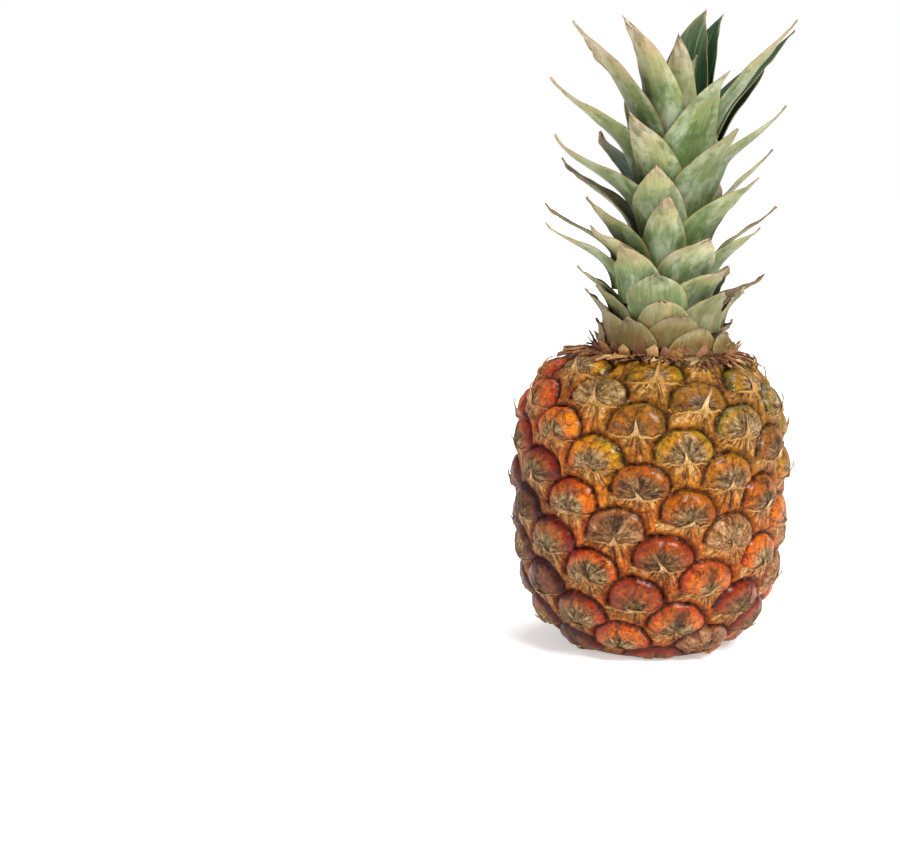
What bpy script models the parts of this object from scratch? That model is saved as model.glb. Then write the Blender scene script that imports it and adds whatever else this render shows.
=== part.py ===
"""A whole pineapple with its crown, standing upright on its cut base.

Units are metres, +Z is up, and the origin is the centre of the flat base. The
front of the fruit faces -Y. Run it with Blender, or from its text editor.
"""

import bisect
import math

import bmesh
import bpy
from mathutils import Vector
from mathutils.bvhtree import BVHTree

MM = 0.001
SHARP_EDGE = math.radians(45)

# The fruit: a barrel with rounded shoulders, flat where it stands.
FRUIT_RADIUS = 59.2 * MM
FRUIT_HEIGHT = 131.6 * MM
FRUIT_WAIST = 71.0 * MM
SHOULDER_POWER = 3.4
FOOT_POWER = 2.8
FOOT_DEPTH = 4.7 * MM
FRUIT_COLUMNS = 72
FRUIT_ROWS = 38

# The eyes of the rind, which follow one spiral from the crown down to the base.
EYE_TURN = math.radians(137.506)
FRONT_EYE_TURN = math.radians(-3.2)
EYE_AREA = 511.0 * MM * MM
FRONT_EYE_SHARE = 0.5744
EYE_NUMBERS = range(-44, 61)
ROWS_OF_EYES = 8
ROW_SLIP = (0.0, 0.29, 0.09, 0.17, 0.26, 0.34, 0.15, 0.11)
EYE_HALF_WIDTH = 13.2 * MM
EYE_HALF_HEIGHT = 9.0 * MM
EYE_DOME = 2.6 * MM
BRACT_DROP = 13.0 * MM
BRACT_HALF_WIDTH = 14.0 * MM
BRACT_HALF_HEIGHT = 6.5 * MM
BRACT_RISE = 1.9 * MM
GROOVE_DEPTH = 1.3 * MM
EYE_REACH = 2.0
BASE_FADE = 9.0 * MM
CROWN_SEAT = 27.0 * MM
SEAT_FADE = 9.0 * MM

# The cut stalk, let into the base.
STALK_RADIUS = 12.0 * MM
STALK_TAPER = 0.5 * MM
STALK_LENGTH = 6.0 * MM
FIT_GAP = 0.4 * MM
ROUND_SIDES = 36

# The crown stands a little right of the fruit's axis and leans that way.
CROWN_FOOT = Vector((6.2 * MM, 0.0, 132.0 * MM))
CROWN_HEIGHT = 150.0 * MM
CROWN_LEAN = 7.5 * MM
LEAN_POWER = 1.3
STEM_RADIUS = 19.5 * MM
STEM_HEIGHT = 78.0 * MM
STEM_POINT = 84.0 * MM
STEM_POWER = 1.7
STEM_RINGS = 9

# Every leaf's blade.
BASE_THICKNESS = 1.2 * MM
TIP_THICKNESS = 0.8 * MM
EDGE_THICKNESS = 0.40 * MM
EDGE_POWER = 1.5
TROUGH_RADIUS = 15.0 * MM
TROUGH_START = 0.67
MOST_BEND = 1.2
ROOT_NARROWING = 0.1
WIDEST_SHARE = 0.25
TIP_HALF_WIDTH = 0.5 * MM
ROOT_DIRECTION = Vector((0.12, 1.0)).normalized()
TIP_DIRECTION = Vector((0.61, 0.87)).normalized()
NEAR_ARM = 0.42
FAR_ARM = 0.30
SHORT_LEAF = 40.0 * MM
SHORT_ROWS = 5
LONG_ROWS = 7
ROOT_SHARE = 0.62
ROOT_DROP = 8.0 * MM
ROOT_LOWEST = 0.0 * MM
LEAF_GAP = 0.34 * MM
ACROSS = 4
SEARCH_REACH = 120.0 * MM
SEAT_ROWS = 3
SEAT_STEP = 3.0 * MM
SEAT_ASIDES = (-0.35, 0.0, 0.35)
LIFT_SLOPE = 0.45
EVENING_PASSES = 3
FINER = 4
STEEPEST = 0.55
DRAPE_ROUNDS = 4
PARTING_ROUNDS = 60
PARTING_STEP = 0.2 * MM

# The leaves turn from dry to green between these heights, in millimetres.
GREENING_HEIGHTS = (8.0, 30.0)
DRY_COLOUR = (0.36, 0.30, 0.13)
GREEN_COLOUR = (0.25, 0.34, 0.19)

# The leaves from the lowest, outermost one up to the heart of the crown:
# turn in degrees from the front, turn of the tip from there, height of the
# tip, its reach from the crown's axis, breadth, and fullness of the outline.
LEAVES = (
    (58, 0, 9, 29, 24, 2.4),
    (25, 4, 11, 30, 25, 2.6),
    (141, 0, 12, 29, 26, 2.4),
    (-88, 0, 13, 30, 25, 2.2),
    (85, 0, 13, 28, 24, 2.0),
    (-141, 0, 14, 29, 26, 2.4),
    (-28, -6, 15, 29, 24, 2.4),
    (4, 10, 17, 28, 25, 2.8),
    (-62, 0, 18, 30, 24, 2.2),
    (182, 0, 20, 30, 27, 2.6),
    (-3, 0, 23, 28, 24, 3.2),
    (-85, 0, 26, 36, 25, 1.8),
    (36, 14, 26, 32, 26, 2.2),
    (90, 0, 27, 32, 23, 1.7),
    (-62, -8, 28, 33, 24, 2.0),
    (108, 0, 32, 44, 22, 1.5),
    (-10, 0, 34, 29, 26, 3.2),
    (-85, 0, 36, 40, 25, 1.6),
    (131, 0, 35, 35, 27, 2.2),
    (28, 16, 36, 34, 27, 2.4),
    (-136, 0, 38, 37, 28, 2.2),
    (-30, -12, 46, 31, 25, 2.4),
    (176, 0, 48, 37, 29, 2.4),
    (14, 18, 49, 31, 26, 3.0),
    (-74, -5, 55, 55, 25, 1.5),
    (60, 5, 53, 40, 25, 1.8),
    (-50, -10, 54, 41, 26, 1.8),
    (-98, 0, 63, 56, 19, 1.3),
    (86, 0, 62, 44, 19, 1.3),
    (-158, 0, 66, 43, 28, 1.9),
    (-58, -5, 66, 42, 26, 1.8),
    (-12, 8, 67, 29, 23, 1.9),
    (150, 0, 72, 42, 28, 2.0),
    (36, 18, 74, 43, 25, 1.8),
    (-105, 0, 83, 53, 21, 2.4),
    (-16, -4, 79, 25, 25, 2.3),
    (80, 0, 86, 41, 20, 1.4),
    (-63, 0, 92, 59, 27, 1.6),
    (-130, 0, 95, 47, 28, 1.7),
    (26, 16, 94, 36, 26, 1.9),
    (70, 0, 104, 47, 24, 1.5),
    (-22, -16, 101, 32, 24, 1.9),
    (170, 0, 108, 45, 29, 1.7),
    (-60, -6, 116, 60, 27, 1.6),
    (19, 14, 118, 33, 25, 1.9),
    (130, 0, 128, 32, 25, 1.7),
    (-120, 0, 133, 38, 27, 1.7),
    (124, 0, 139, 57, 29, 1.5),
    (60, 0, 138, 50, 17, 1.7),
    (-55, -8, 139, 52, 25, 1.5),
    (-28, -22, 141, 36, 26, 1.8),
    (-8, 0, 134, 17, 23, 1.9),
    (155, -15, 145, 24, 27, 1.9),
    (176, -18, 147, 21, 29, 2.0),
    (70, 0, 126, 6, 18, 1.8),
    (-62, 0, 119, 5, 17, 1.8),
    (205, 0, 113, 4, 15, 1.8),
)


def make_material(name, colour, roughness):
    material = bpy.data.materials.new(name)
    material.use_nodes = True
    shader = material.node_tree.nodes["Principled BSDF"]
    shader.inputs["Base Color"].default_value = (*colour, 1.0)
    shader.inputs["Roughness"].default_value = roughness
    shader.inputs["Metallic"].default_value = 0.0
    return material


def add_object(name, points, faces, material):
    mesh = bpy.data.meshes.new(name)
    mesh.from_pydata([tuple(point) for point in points], [], faces)
    mesh.materials.append(material)
    mesh.shade_smooth()
    mesh.set_sharp_from_angle(angle=SHARP_EDGE)
    mesh.update()
    made = bpy.data.objects.new(name, mesh)
    bpy.context.scene.collection.objects.link(made)
    return made


def smooth_step(low, high, value):
    share = min(max((value - low) / (high - low), 0.0), 1.0)
    return share * share * (3.0 - 2.0 * share)


class FruitProfile:
    """The fruit's outline from the flat base to the top, by distance along it."""

    STEPS = 600

    def __init__(self):
        self.heights = []
        self.radii = []
        for step in range(self.STEPS + 1):
            angle = math.pi * step / self.STEPS
            height, radius = self.point(angle)
            self.heights.append(height)
            self.radii.append(radius)
        self.lengths = [0.0]
        self.areas = [0.0]
        for step in range(self.STEPS):
            rise = self.heights[step + 1] - self.heights[step]
            run = self.radii[step + 1] - self.radii[step]
            length = math.hypot(rise, run)
            mean_radius = 0.5 * (self.radii[step + 1] + self.radii[step])
            self.lengths.append(self.lengths[-1] + length)
            self.areas.append(self.areas[-1] + math.tau * mean_radius * length)

    def point(self, angle):
        """Height and radius, with the angle running from the foot to the top."""
        height = FRUIT_HEIGHT * 0.5 * (1.0 - math.cos(angle))
        if height > FRUIT_WAIST:
            share = (height - FRUIT_WAIST) / (FRUIT_HEIGHT - FRUIT_WAIST)
            power = SHOULDER_POWER
        else:
            share = (FRUIT_WAIST - height) / (FRUIT_WAIST + FOOT_DEPTH)
            power = FOOT_POWER
        radius = FRUIT_RADIUS * max(1.0 - share**power, 0.0) ** (1.0 / power)
        return height, radius

    def at(self, length):
        """Height, radius and outward slope at a distance along the outline."""
        index = min(max(bisect.bisect(self.lengths, length), 1), self.STEPS)
        span = self.lengths[index] - self.lengths[index - 1]
        share = (length - self.lengths[index - 1]) / span
        rise = self.heights[index] - self.heights[index - 1]
        run = self.radii[index] - self.radii[index - 1]
        height = self.heights[index - 1] + share * rise
        radius = self.radii[index - 1] + share * run
        return height, radius, Vector((rise, -run)).normalized()

    def length_at_area(self, area):
        index = min(max(bisect.bisect(self.areas, area), 1), self.STEPS)
        span = self.areas[index] - self.areas[index - 1]
        share = (area - self.areas[index - 1]) / span
        step = self.lengths[index] - self.lengths[index - 1]
        return self.lengths[index - 1] + share * step


def place_eyes(profile):
    """Each eye's turn round the fruit and its distance along the outline."""
    eyes = []
    row_turn = ROWS_OF_EYES * EYE_TURN % math.tau
    for number in EYE_NUMBERS:
        # Every third number starts the next of the spiral rows round the fruit.
        row = number * 3 % ROWS_OF_EYES
        slip = ROW_SLIP[row]
        turn = FRONT_EYE_TURN + number * EYE_TURN + slip * row_turn
        area = profile.areas[-1] * FRONT_EYE_SHARE
        area -= (number + ROWS_OF_EYES * slip) * EYE_AREA
        if 0.0 < area < profile.areas[-1]:
            eyes.append((turn, profile.length_at_area(area)))
    return eyes


def rind_height(turn, length, radius, eyes):
    """How far the rind stands out: the highest dome or bract, over the grooves."""
    highest = -GROOVE_DEPTH
    for eye_turn, eye_length in eyes:
        across = math.remainder(turn - eye_turn, math.tau) * radius
        up = length - eye_length
        if abs(across) > EYE_REACH * EYE_HALF_WIDTH or abs(up) > EYE_REACH * BRACT_DROP:
            continue
        dome = (across / EYE_HALF_WIDTH) ** 2 + (up / EYE_HALF_HEIGHT) ** 2
        bract = (across / BRACT_HALF_WIDTH) ** 2
        bract += ((up + BRACT_DROP) / BRACT_HALF_HEIGHT) ** 2
        highest = max(highest, EYE_DOME * (1.0 - dome * dome) - GROOVE_DEPTH)
        highest = max(highest, BRACT_RISE * (1.0 - bract) - GROOVE_DEPTH)
    return highest


def build_fruit():
    profile = FruitProfile()
    eyes = place_eyes(profile)
    full_length = profile.lengths[-1]
    points = []
    for row in range(FRUIT_ROWS):
        length = full_length * row / FRUIT_ROWS
        height, radius, outward = profile.at(length)
        relief = smooth_step(0.0, BASE_FADE, length)
        if height > FRUIT_WAIST:
            relief *= smooth_step(CROWN_SEAT, CROWN_SEAT + SEAT_FADE, radius)
        for column in range(FRUIT_COLUMNS):
            turn = math.tau * column / FRUIT_COLUMNS
            lift = relief * rind_height(turn, length, radius, eyes)
            reach = radius + lift * outward.x
            level = max(height + lift * outward.y, 0.0)
            points.append((reach * math.sin(turn), -reach * math.cos(turn), level))
    faces = []
    for row in range(FRUIT_ROWS - 1):
        for column in range(FRUIT_COLUMNS):
            after = (column + 1) % FRUIT_COLUMNS
            here = row * FRUIT_COLUMNS
            above = here + FRUIT_COLUMNS
            faces.append((here + column, here + after, above + after, above + column))
    top = len(points)
    points.append((0.0, 0.0, FRUIT_HEIGHT))
    last_row = (FRUIT_ROWS - 1) * FRUIT_COLUMNS
    for column in range(FRUIT_COLUMNS):
        after = (column + 1) % FRUIT_COLUMNS
        faces.append((last_row + column, last_row + after, top))
    faces.append(tuple(reversed(range(FRUIT_COLUMNS))))
    rind = make_material("rind", (0.36, 0.17, 0.035), 0.5)
    return add_object("fruit_body", points, faces, rind)


def cut_stalk_pocket(fruit):
    """The round pocket in the base that the stalk's cut end fills."""
    mesh = bpy.data.meshes.new("stalk_pocket")
    shape = bmesh.new()
    bmesh.ops.create_cone(
        shape,
        cap_ends=True,
        segments=ROUND_SIDES,
        radius1=STALK_RADIUS + FIT_GAP,
        radius2=STALK_RADIUS + FIT_GAP,
        depth=2.0 * (STALK_LENGTH + FIT_GAP),
    )
    shape.to_mesh(mesh)
    shape.free()
    pocket = bpy.data.objects.new("stalk_pocket", mesh)
    pocket.hide_render = True
    pocket.display_type = "WIRE"
    bpy.context.scene.collection.objects.link(pocket)
    cut = fruit.modifiers.new("stalk pocket", "BOOLEAN")
    cut.object = pocket
    cut.operation = "DIFFERENCE"


def build_stalk():
    mesh = bpy.data.meshes.new("stalk_stub")
    shape = bmesh.new()
    bmesh.ops.create_cone(
        shape,
        cap_ends=True,
        segments=ROUND_SIDES,
        radius1=STALK_RADIUS,
        radius2=STALK_RADIUS - STALK_TAPER,
        depth=STALK_LENGTH,
    )
    shape.to_mesh(mesh)
    shape.free()
    mesh.materials.append(make_material("cut stalk", (0.50, 0.38, 0.20), 0.8))
    mesh.shade_smooth()
    mesh.set_sharp_from_angle(angle=SHARP_EDGE)
    stalk = bpy.data.objects.new("stalk_stub", mesh)
    stalk.location.z = 0.5 * STALK_LENGTH
    bpy.context.scene.collection.objects.link(stalk)


def leaned(point):
    """A point of the straight crown, moved to where the leaning crown has it."""
    share = max(point.z, 0.0) / CROWN_HEIGHT
    shift = Vector((CROWN_LEAN * share**LEAN_POWER, 0.0, 0.0))
    return point + shift + CROWN_FOOT


def stem_radius(height):
    share = min(max(height, 0.0), STEM_HEIGHT) / STEM_POINT
    return STEM_RADIUS * (1.0 - share**STEM_POWER)


def stem_shape():
    """Points and faces of the crown's stem, in the straight crown."""
    points = []
    for ring in range(STEM_RINGS + 1):
        height = STEM_HEIGHT * ring / STEM_RINGS
        radius = stem_radius(height)
        for side in range(ROUND_SIDES):
            turn = math.tau * side / ROUND_SIDES
            points.append(Vector((radius * math.sin(turn), -radius * math.cos(turn), height)))
    faces = [tuple(reversed(range(ROUND_SIDES)))]
    for ring in range(STEM_RINGS):
        here = ring * ROUND_SIDES
        for side in range(ROUND_SIDES):
            after = (side + 1) % ROUND_SIDES
            above = here + ROUND_SIDES
            faces.append((here + side, here + after, above + after, above + side))
    top = STEM_RINGS * ROUND_SIDES
    faces.append(tuple(range(top, top + ROUND_SIDES)))
    return points, faces


class Leaf:
    """One leaf of the straight crown, as a grid of points along and across it."""

    def __init__(self, turn, swing, height, reach, breadth, fullness):
        self.turn = math.radians(turn)
        self.swing = math.radians(swing)
        self.height = height * MM
        self.reach = reach * MM
        self.breadth = breadth * MM
        self.fullness = fullness
        self.root_height = max(ROOT_SHARE * self.height - ROOT_DROP, ROOT_LOWEST)
        self.root_radius = stem_radius(self.root_height)
        self.along = SHORT_ROWS if self.height < SHORT_LEAF else LONG_ROWS
        self.lifts = [[0.0] * (ACROSS + 1) for _ in range(self.along + 1)]

    def spine(self, share):
        """The middle of the blade as radius and height, and its outward side."""
        root = Vector((self.root_radius, self.root_height))
        tip = Vector((self.reach, self.height))
        length = (tip - root).length
        near = root + ROOT_DIRECTION * length * NEAR_ARM
        far = tip - TIP_DIRECTION * length * FAR_ARM
        rest = 1.0 - share
        place = root * rest**3 + near * (3 * rest**2 * share)
        place += far * (3 * rest * share**2) + tip * share**3
        heading = (near - root) * rest**2 + (far - near) * (2 * rest * share)
        heading += (tip - far) * share**2
        heading.normalize()
        return place, Vector((heading.y, -heading.x))

    def half_width(self, share):
        narrowing = ROOT_NARROWING * (1.0 - min(share / WIDEST_SHARE, 1.0))
        outline = (1.0 - share**self.fullness) * (1.0 - narrowing)
        return max(0.5 * self.breadth * outline, TIP_HALF_WIDTH)

    def thickness(self, share, side):
        middle = BASE_THICKNESS + (TIP_THICKNESS - BASE_THICKNESS) * share
        return middle + (EDGE_THICKNESS - middle) * abs(side) ** EDGE_POWER

    def surface(self, share, side, lift=0.0, depth=0.0):
        """A point of the blade: side runs from -1 to 1, depth is off its middle."""
        place, outward = self.spine(share)
        half_width = self.half_width(share)
        hollow = place.x + (TROUGH_RADIUS - place.x) * min(share / TROUGH_START, 1.0)
        hollow = max(hollow, half_width / MOST_BEND)
        bend = side * half_width / hollow
        drop = hollow * (1.0 - math.cos(bend)) - depth * math.cos(bend)
        radius = place.x - drop * outward.x
        height = place.y - drop * outward.y
        sideways = (hollow + depth) * math.sin(bend)
        turn = self.turn + self.swing * share * share
        out = Vector((math.sin(turn), -math.cos(turn), 0.0))
        along = Vector((math.cos(turn), math.sin(turn), 0.0))
        flat = out * radius + along * sideways
        return flat + flat.normalized() * lift + Vector((0.0, 0.0, height))

    def corner(self, row, column, depth):
        side = 2.0 * column / ACROSS - 1.0
        return self.surface(row / self.along, side, self.lifts[row][column], depth)

    def seat(self, inner):
        """Sets the root on whatever lies inside it: the stem or other leaves."""
        for step in range(SEAT_ROWS):
            height = self.root_height + step * SEAT_STEP
            for aside in SEAT_ASIDES:
                turn = self.turn + aside
                out = Vector((math.sin(turn), -math.cos(turn), 0.0))
                hit = inner.ray_cast(out * SEARCH_REACH + Vector((0.0, 0.0, height)), -out)
                if hit[0] is not None:
                    wall = Vector((hit[0].x, hit[0].y)).length
                    self.root_radius = max(self.root_radius, wall)
        self.root_radius += LEAF_GAP + 0.5 * BASE_THICKNESS

    def drape(self, inner):
        """Lifts the blade clear of the leaves that lie inside it."""
        for _ in range(DRAPE_ROUNDS):
            wanted = {}
            for fine_row in range(self.along * FINER + 1):
                row, up = divmod(fine_row, FINER)
                for fine_column in range(ACROSS * FINER + 1):
                    column, over = divmod(fine_column, FINER)
                    need = self.missing(row, up / FINER, column, over / FINER, inner)
                    if need <= 0.0:
                        continue
                    for near_row in {row, min(row + (up > 0), self.along)}:
                        for near_column in {column, min(column + (over > 0), ACROSS)}:
                            key = (near_row, near_column)
                            wanted[key] = max(wanted.get(key, 0.0), need)
            if not wanted:
                break
            for (row, column), need in wanted.items():
                self.lifts[row][column] += need
            self.even_out()

    def missing(self, row, up, column, over, inner):
        """How much further out the blade has to lie at one place."""
        rows = (row, min(row + 1, self.along))
        columns = (column, min(column + 1, ACROSS))
        corners = [self.corner(r, c, 0.0) for r in rows for c in columns]
        low = corners[0].lerp(corners[1], over)
        high = corners[2].lerp(corners[3], over)
        place = low.lerp(high, up)
        share = (row + up) / self.along
        side = 2.0 * (column + over) / ACROSS - 1.0
        out = Vector((place.x, place.y, 0.0))
        radius = out.length
        out.normalize()
        hit = inner.ray_cast(out * SEARCH_REACH + Vector((0.0, 0.0, place.z)), -out)
        if hit[0] is None:
            return 0.0
        wall = Vector((hit[0].x, hit[0].y, 0.0)).length
        outward = self.spine(share)[1]
        clearance = 0.5 * self.thickness(share, side) + LEAF_GAP
        clearance /= max(outward.x, STEEPEST)
        return wall + clearance - radius

    def even_out(self):
        """Spreads each lift to the points round it, so that the blade stays smooth."""
        step_up = (self.height - self.root_height) / self.along
        for _ in range(EVENING_PASSES):
            for row in range(self.along + 1):
                step_over = 2.0 * self.half_width(row / self.along) / ACROSS
                for column in range(ACROSS + 1):
                    least = self.lifts[row][column]
                    for near in (column - 1, column + 1):
                        if 0 <= near <= ACROSS:
                            least = max(least, self.lifts[row][near] - LIFT_SLOPE * step_over)
                    for near in (row - 1, row + 1):
                        if 0 <= near <= self.along:
                            least = max(least, self.lifts[near][column] - LIFT_SLOPE * step_up)
                    self.lifts[row][column] = least

    def part_from(self, inner):
        """Lifts the blade a little more wherever it still comes too near the others."""
        width = ACROSS + 1
        for _ in range(PARTING_ROUNDS):
            points, faces = self.solid(spare=LEAF_GAP)
            touching = BVHTree.FromPolygons(points, faces).overlap(inner)
            if not touching:
                return
            near = {point for face, _ in touching for point in faces[face]}
            for place in {point % (width * (self.along + 1)) for point in near}:
                row, column = divmod(place, width)
                self.lifts[row][column] += PARTING_STEP
            self.even_out()

    def solid(self, spare=0.0):
        """Points and triangles of the closed blade."""
        points = []
        for face_side in (1.0, -1.0):
            for row in range(self.along + 1):
                for column in range(ACROSS + 1):
                    side = 2.0 * column / ACROSS - 1.0
                    thickness = self.thickness(row / self.along, side) + spare
                    depth = 0.5 * face_side * thickness
                    points.append(self.corner(row, column, depth))
        width = ACROSS + 1
        back = width * (self.along + 1)
        faces = []
        for row in range(self.along):
            for column in range(ACROSS):
                here = row * width + column
                above = here + width
                for ring in ((here, here + 1, above + 1), (here, above + 1, above)):
                    faces.append(ring)
                    faces.append(tuple(back + point for point in reversed(ring)))
        rim = list(range(width))
        rim += [row * width + ACROSS for row in range(1, self.along + 1)]
        rim += [self.along * width + column for column in range(ACROSS - 1, -1, -1)]
        rim += [row * width for row in range(self.along - 1, 0, -1)]
        for here, after in zip(rim, rim[1:] + rim[:1]):
            faces.append((after, here, back + here))
            faces.append((after, back + here, back + after))
        return points, faces


def leaf_colour(height):
    """Dry and straw-coloured near the fruit, grey-green higher up."""
    share = smooth_step(*GREENING_HEIGHTS, height)
    return tuple(a + (b - a) * share for a, b in zip(DRY_COLOUR, GREEN_COLOUR))


def build_crown():
    points, faces = stem_shape()
    flesh = make_material("crown stem", (0.45, 0.42, 0.22), 0.7)
    add_object("crown_stem", [leaned(point) for point in points], faces, flesh)
    inner_points = list(points)
    inner_faces = list(faces)
    for number in range(len(LEAVES), 0, -1):
        leaf = Leaf(*LEAVES[number - 1])
        inner = BVHTree.FromPolygons(inner_points, inner_faces)
        leaf.seat(inner)
        leaf.drape(inner)
        leaf.part_from(inner)
        points, faces = leaf.solid()
        name = f"leaf_{number:02d}"
        colour = leaf_colour(LEAVES[number - 1][2])
        add_object(name, [leaned(p) for p in points], faces, make_material(name, colour, 0.55))
        start = len(inner_points)
        inner_points += points
        inner_faces += [tuple(start + point for point in face) for face in faces]


def main():
    for old in list(bpy.data.objects):
        bpy.data.objects.remove(old, do_unlink=True)
    fruit = build_fruit()
    cut_stalk_pocket(fruit)
    build_stalk()
    build_crown()


main()
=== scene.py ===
# A whole pineapple with its crown, dressed round its CAD frame. Metres, +Z up, front faces -Y.
import math

import bpy
import numpy as np
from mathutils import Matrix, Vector
from mathutils.bvhtree import BVHTree


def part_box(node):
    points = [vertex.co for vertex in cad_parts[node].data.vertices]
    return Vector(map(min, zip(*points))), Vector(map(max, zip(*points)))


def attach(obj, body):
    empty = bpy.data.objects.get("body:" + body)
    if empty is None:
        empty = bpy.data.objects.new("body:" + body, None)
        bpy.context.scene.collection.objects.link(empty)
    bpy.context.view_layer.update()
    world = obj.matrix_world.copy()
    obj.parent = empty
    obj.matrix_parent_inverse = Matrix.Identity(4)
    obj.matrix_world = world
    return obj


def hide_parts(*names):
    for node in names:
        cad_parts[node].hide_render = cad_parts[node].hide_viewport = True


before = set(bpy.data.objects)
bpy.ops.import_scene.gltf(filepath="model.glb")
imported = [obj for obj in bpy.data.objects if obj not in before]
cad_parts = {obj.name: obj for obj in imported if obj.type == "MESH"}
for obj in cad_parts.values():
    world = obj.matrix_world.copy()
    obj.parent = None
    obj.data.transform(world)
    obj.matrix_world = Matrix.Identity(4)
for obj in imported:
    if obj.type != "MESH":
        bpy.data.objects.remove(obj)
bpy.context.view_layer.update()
mm = 0.001
perMetre = 1000.0
tau = math.tau
goldenShare = 0.381966  # of a full turn, the step from one scale leaf to the next
print("frame loaded")


# general helpers


def hue(red, green, blue):
    # a colour as a designer reads it, 0 to 255, turned into a linear shader colour
    channels = []
    for value in (red, green, blue):
        share = value / 255.0
        if share <= 0.04045:
            channels.append(share / 12.92)
        else:
            channels.append(((share + 0.055) / 1.055) ** 2.4)
    return (channels[0], channels[1], channels[2], 1.0)


def smoothStep(low, high, value):
    share = np.clip((value - low) / (high - low), 0.0, 1.0)
    return share * share * (3.0 - 2.0 * share)


def wrapTurn(turn):
    return (turn + math.pi) % tau - math.pi


def makePiece(name, points, faces, material, values, stands, sharp=40.0):
    # one mesh piece with its named point values, riding on the root body
    mesh = bpy.data.meshes.new(name)
    points = np.asarray(points, dtype=np.float64).reshape(-1, 3)
    mesh.from_pydata(points.tolist(), [], faces)
    mesh.update()
    for valueName, numbers in values.items():
        numbers = np.asarray(numbers, dtype=np.float32)
        if numbers.ndim == 2:
            layer = mesh.attributes.new(valueName, "FLOAT_VECTOR", "POINT")
            layer.data.foreach_set("vector", numbers.ravel())
        else:
            layer = mesh.attributes.new(valueName, "FLOAT", "POINT")
            layer.data.foreach_set("value", numbers)
    mesh.materials.append(material)
    mesh.shade_smooth()
    mesh.set_sharp_from_angle(angle=math.radians(sharp))
    piece = bpy.data.objects.new(name, mesh)
    bpy.context.scene.collection.objects.link(piece)
    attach(piece, "root")
    if stands:
        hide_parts(*stands)
    return piece


def wave(value, phase):
    return np.sin(value + tau * phase)


def bell(value, width):
    return np.exp(-((value / width) ** 2))


def twice(numbers):
    return np.concatenate([numbers, numbers])


def flatGrid(down, across):
    # every pair of a place down and a place across, as two long rows
    return [places.ravel() for places in np.meshgrid(down, across, indexing="ij")]


def around(turn, reach, level):
    # world points at a turn from the front, a reach from the upright axis, and a level
    return np.stack([reach * np.sin(turn), -reach * np.cos(turn), level + 0 * turn], axis=-1)


def gridFaces(rows, columns, start=0, flip=False):
    # quads of a grid of points, rows by columns
    faces = []
    for row in range(rows - 1):
        for column in range(columns - 1):
            here = start + row * columns + column
            ring = (here, here + 1, here + 1 + columns, here + columns)
            faces.append(ring[::-1] if flip else ring)
    return faces


def ringFaces(rings, sides):
    # quads between closed rings of points, one ring above the other
    faces = []
    for here in range(0, (rings - 1) * sides, sides):
        for side in range(sides):
            after = (side + 1) % sides
            faces.append((here + side, here + after, here + sides + after, here + sides + side))
    return faces


def tubeFaces(rings, sides):
    # closed rings with a flat cap at both ends
    top = (rings - 1) * sides
    foot = tuple(reversed(range(sides)))
    return [foot] + ringFaces(rings, sides) + [tuple(range(top, top + sides))]


def shellFaces(rows, columns):
    # a closed thin shell: a front grid, a back grid behind it, and the rim that joins them
    back = rows * columns
    faces = gridFaces(rows, columns) + gridFaces(rows, columns, back, flip=True)
    rim = list(range(columns))
    rim += [row * columns + columns - 1 for row in range(1, rows)]
    rim += [(rows - 1) * columns + column for column in range(columns - 2, -1, -1)]
    rim += [row * columns for row in range(rows - 2, 0, -1)]
    for here, after in zip(rim, rim[1:] + rim[:1]):
        faces.append((after, here, back + here, back + after))
    return faces


class Parts:
    # the points, faces and point values of one piece, gathered part by part

    def __init__(self):
        self.points = []
        self.faces = []
        self.values = {}
        self.count = 0

    def take(self, points, faces, **values):
        self.points.append(points)
        self.faces += [tuple(self.count + point for point in face) for face in faces]
        for name, numbers in values.items():
            self.values.setdefault(name, []).append(numbers)
        self.count += len(points)

    def joined(self):
        values = {name: np.concatenate(parts) for name, parts in self.values.items()}
        return np.concatenate(self.points), self.faces, values


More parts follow.
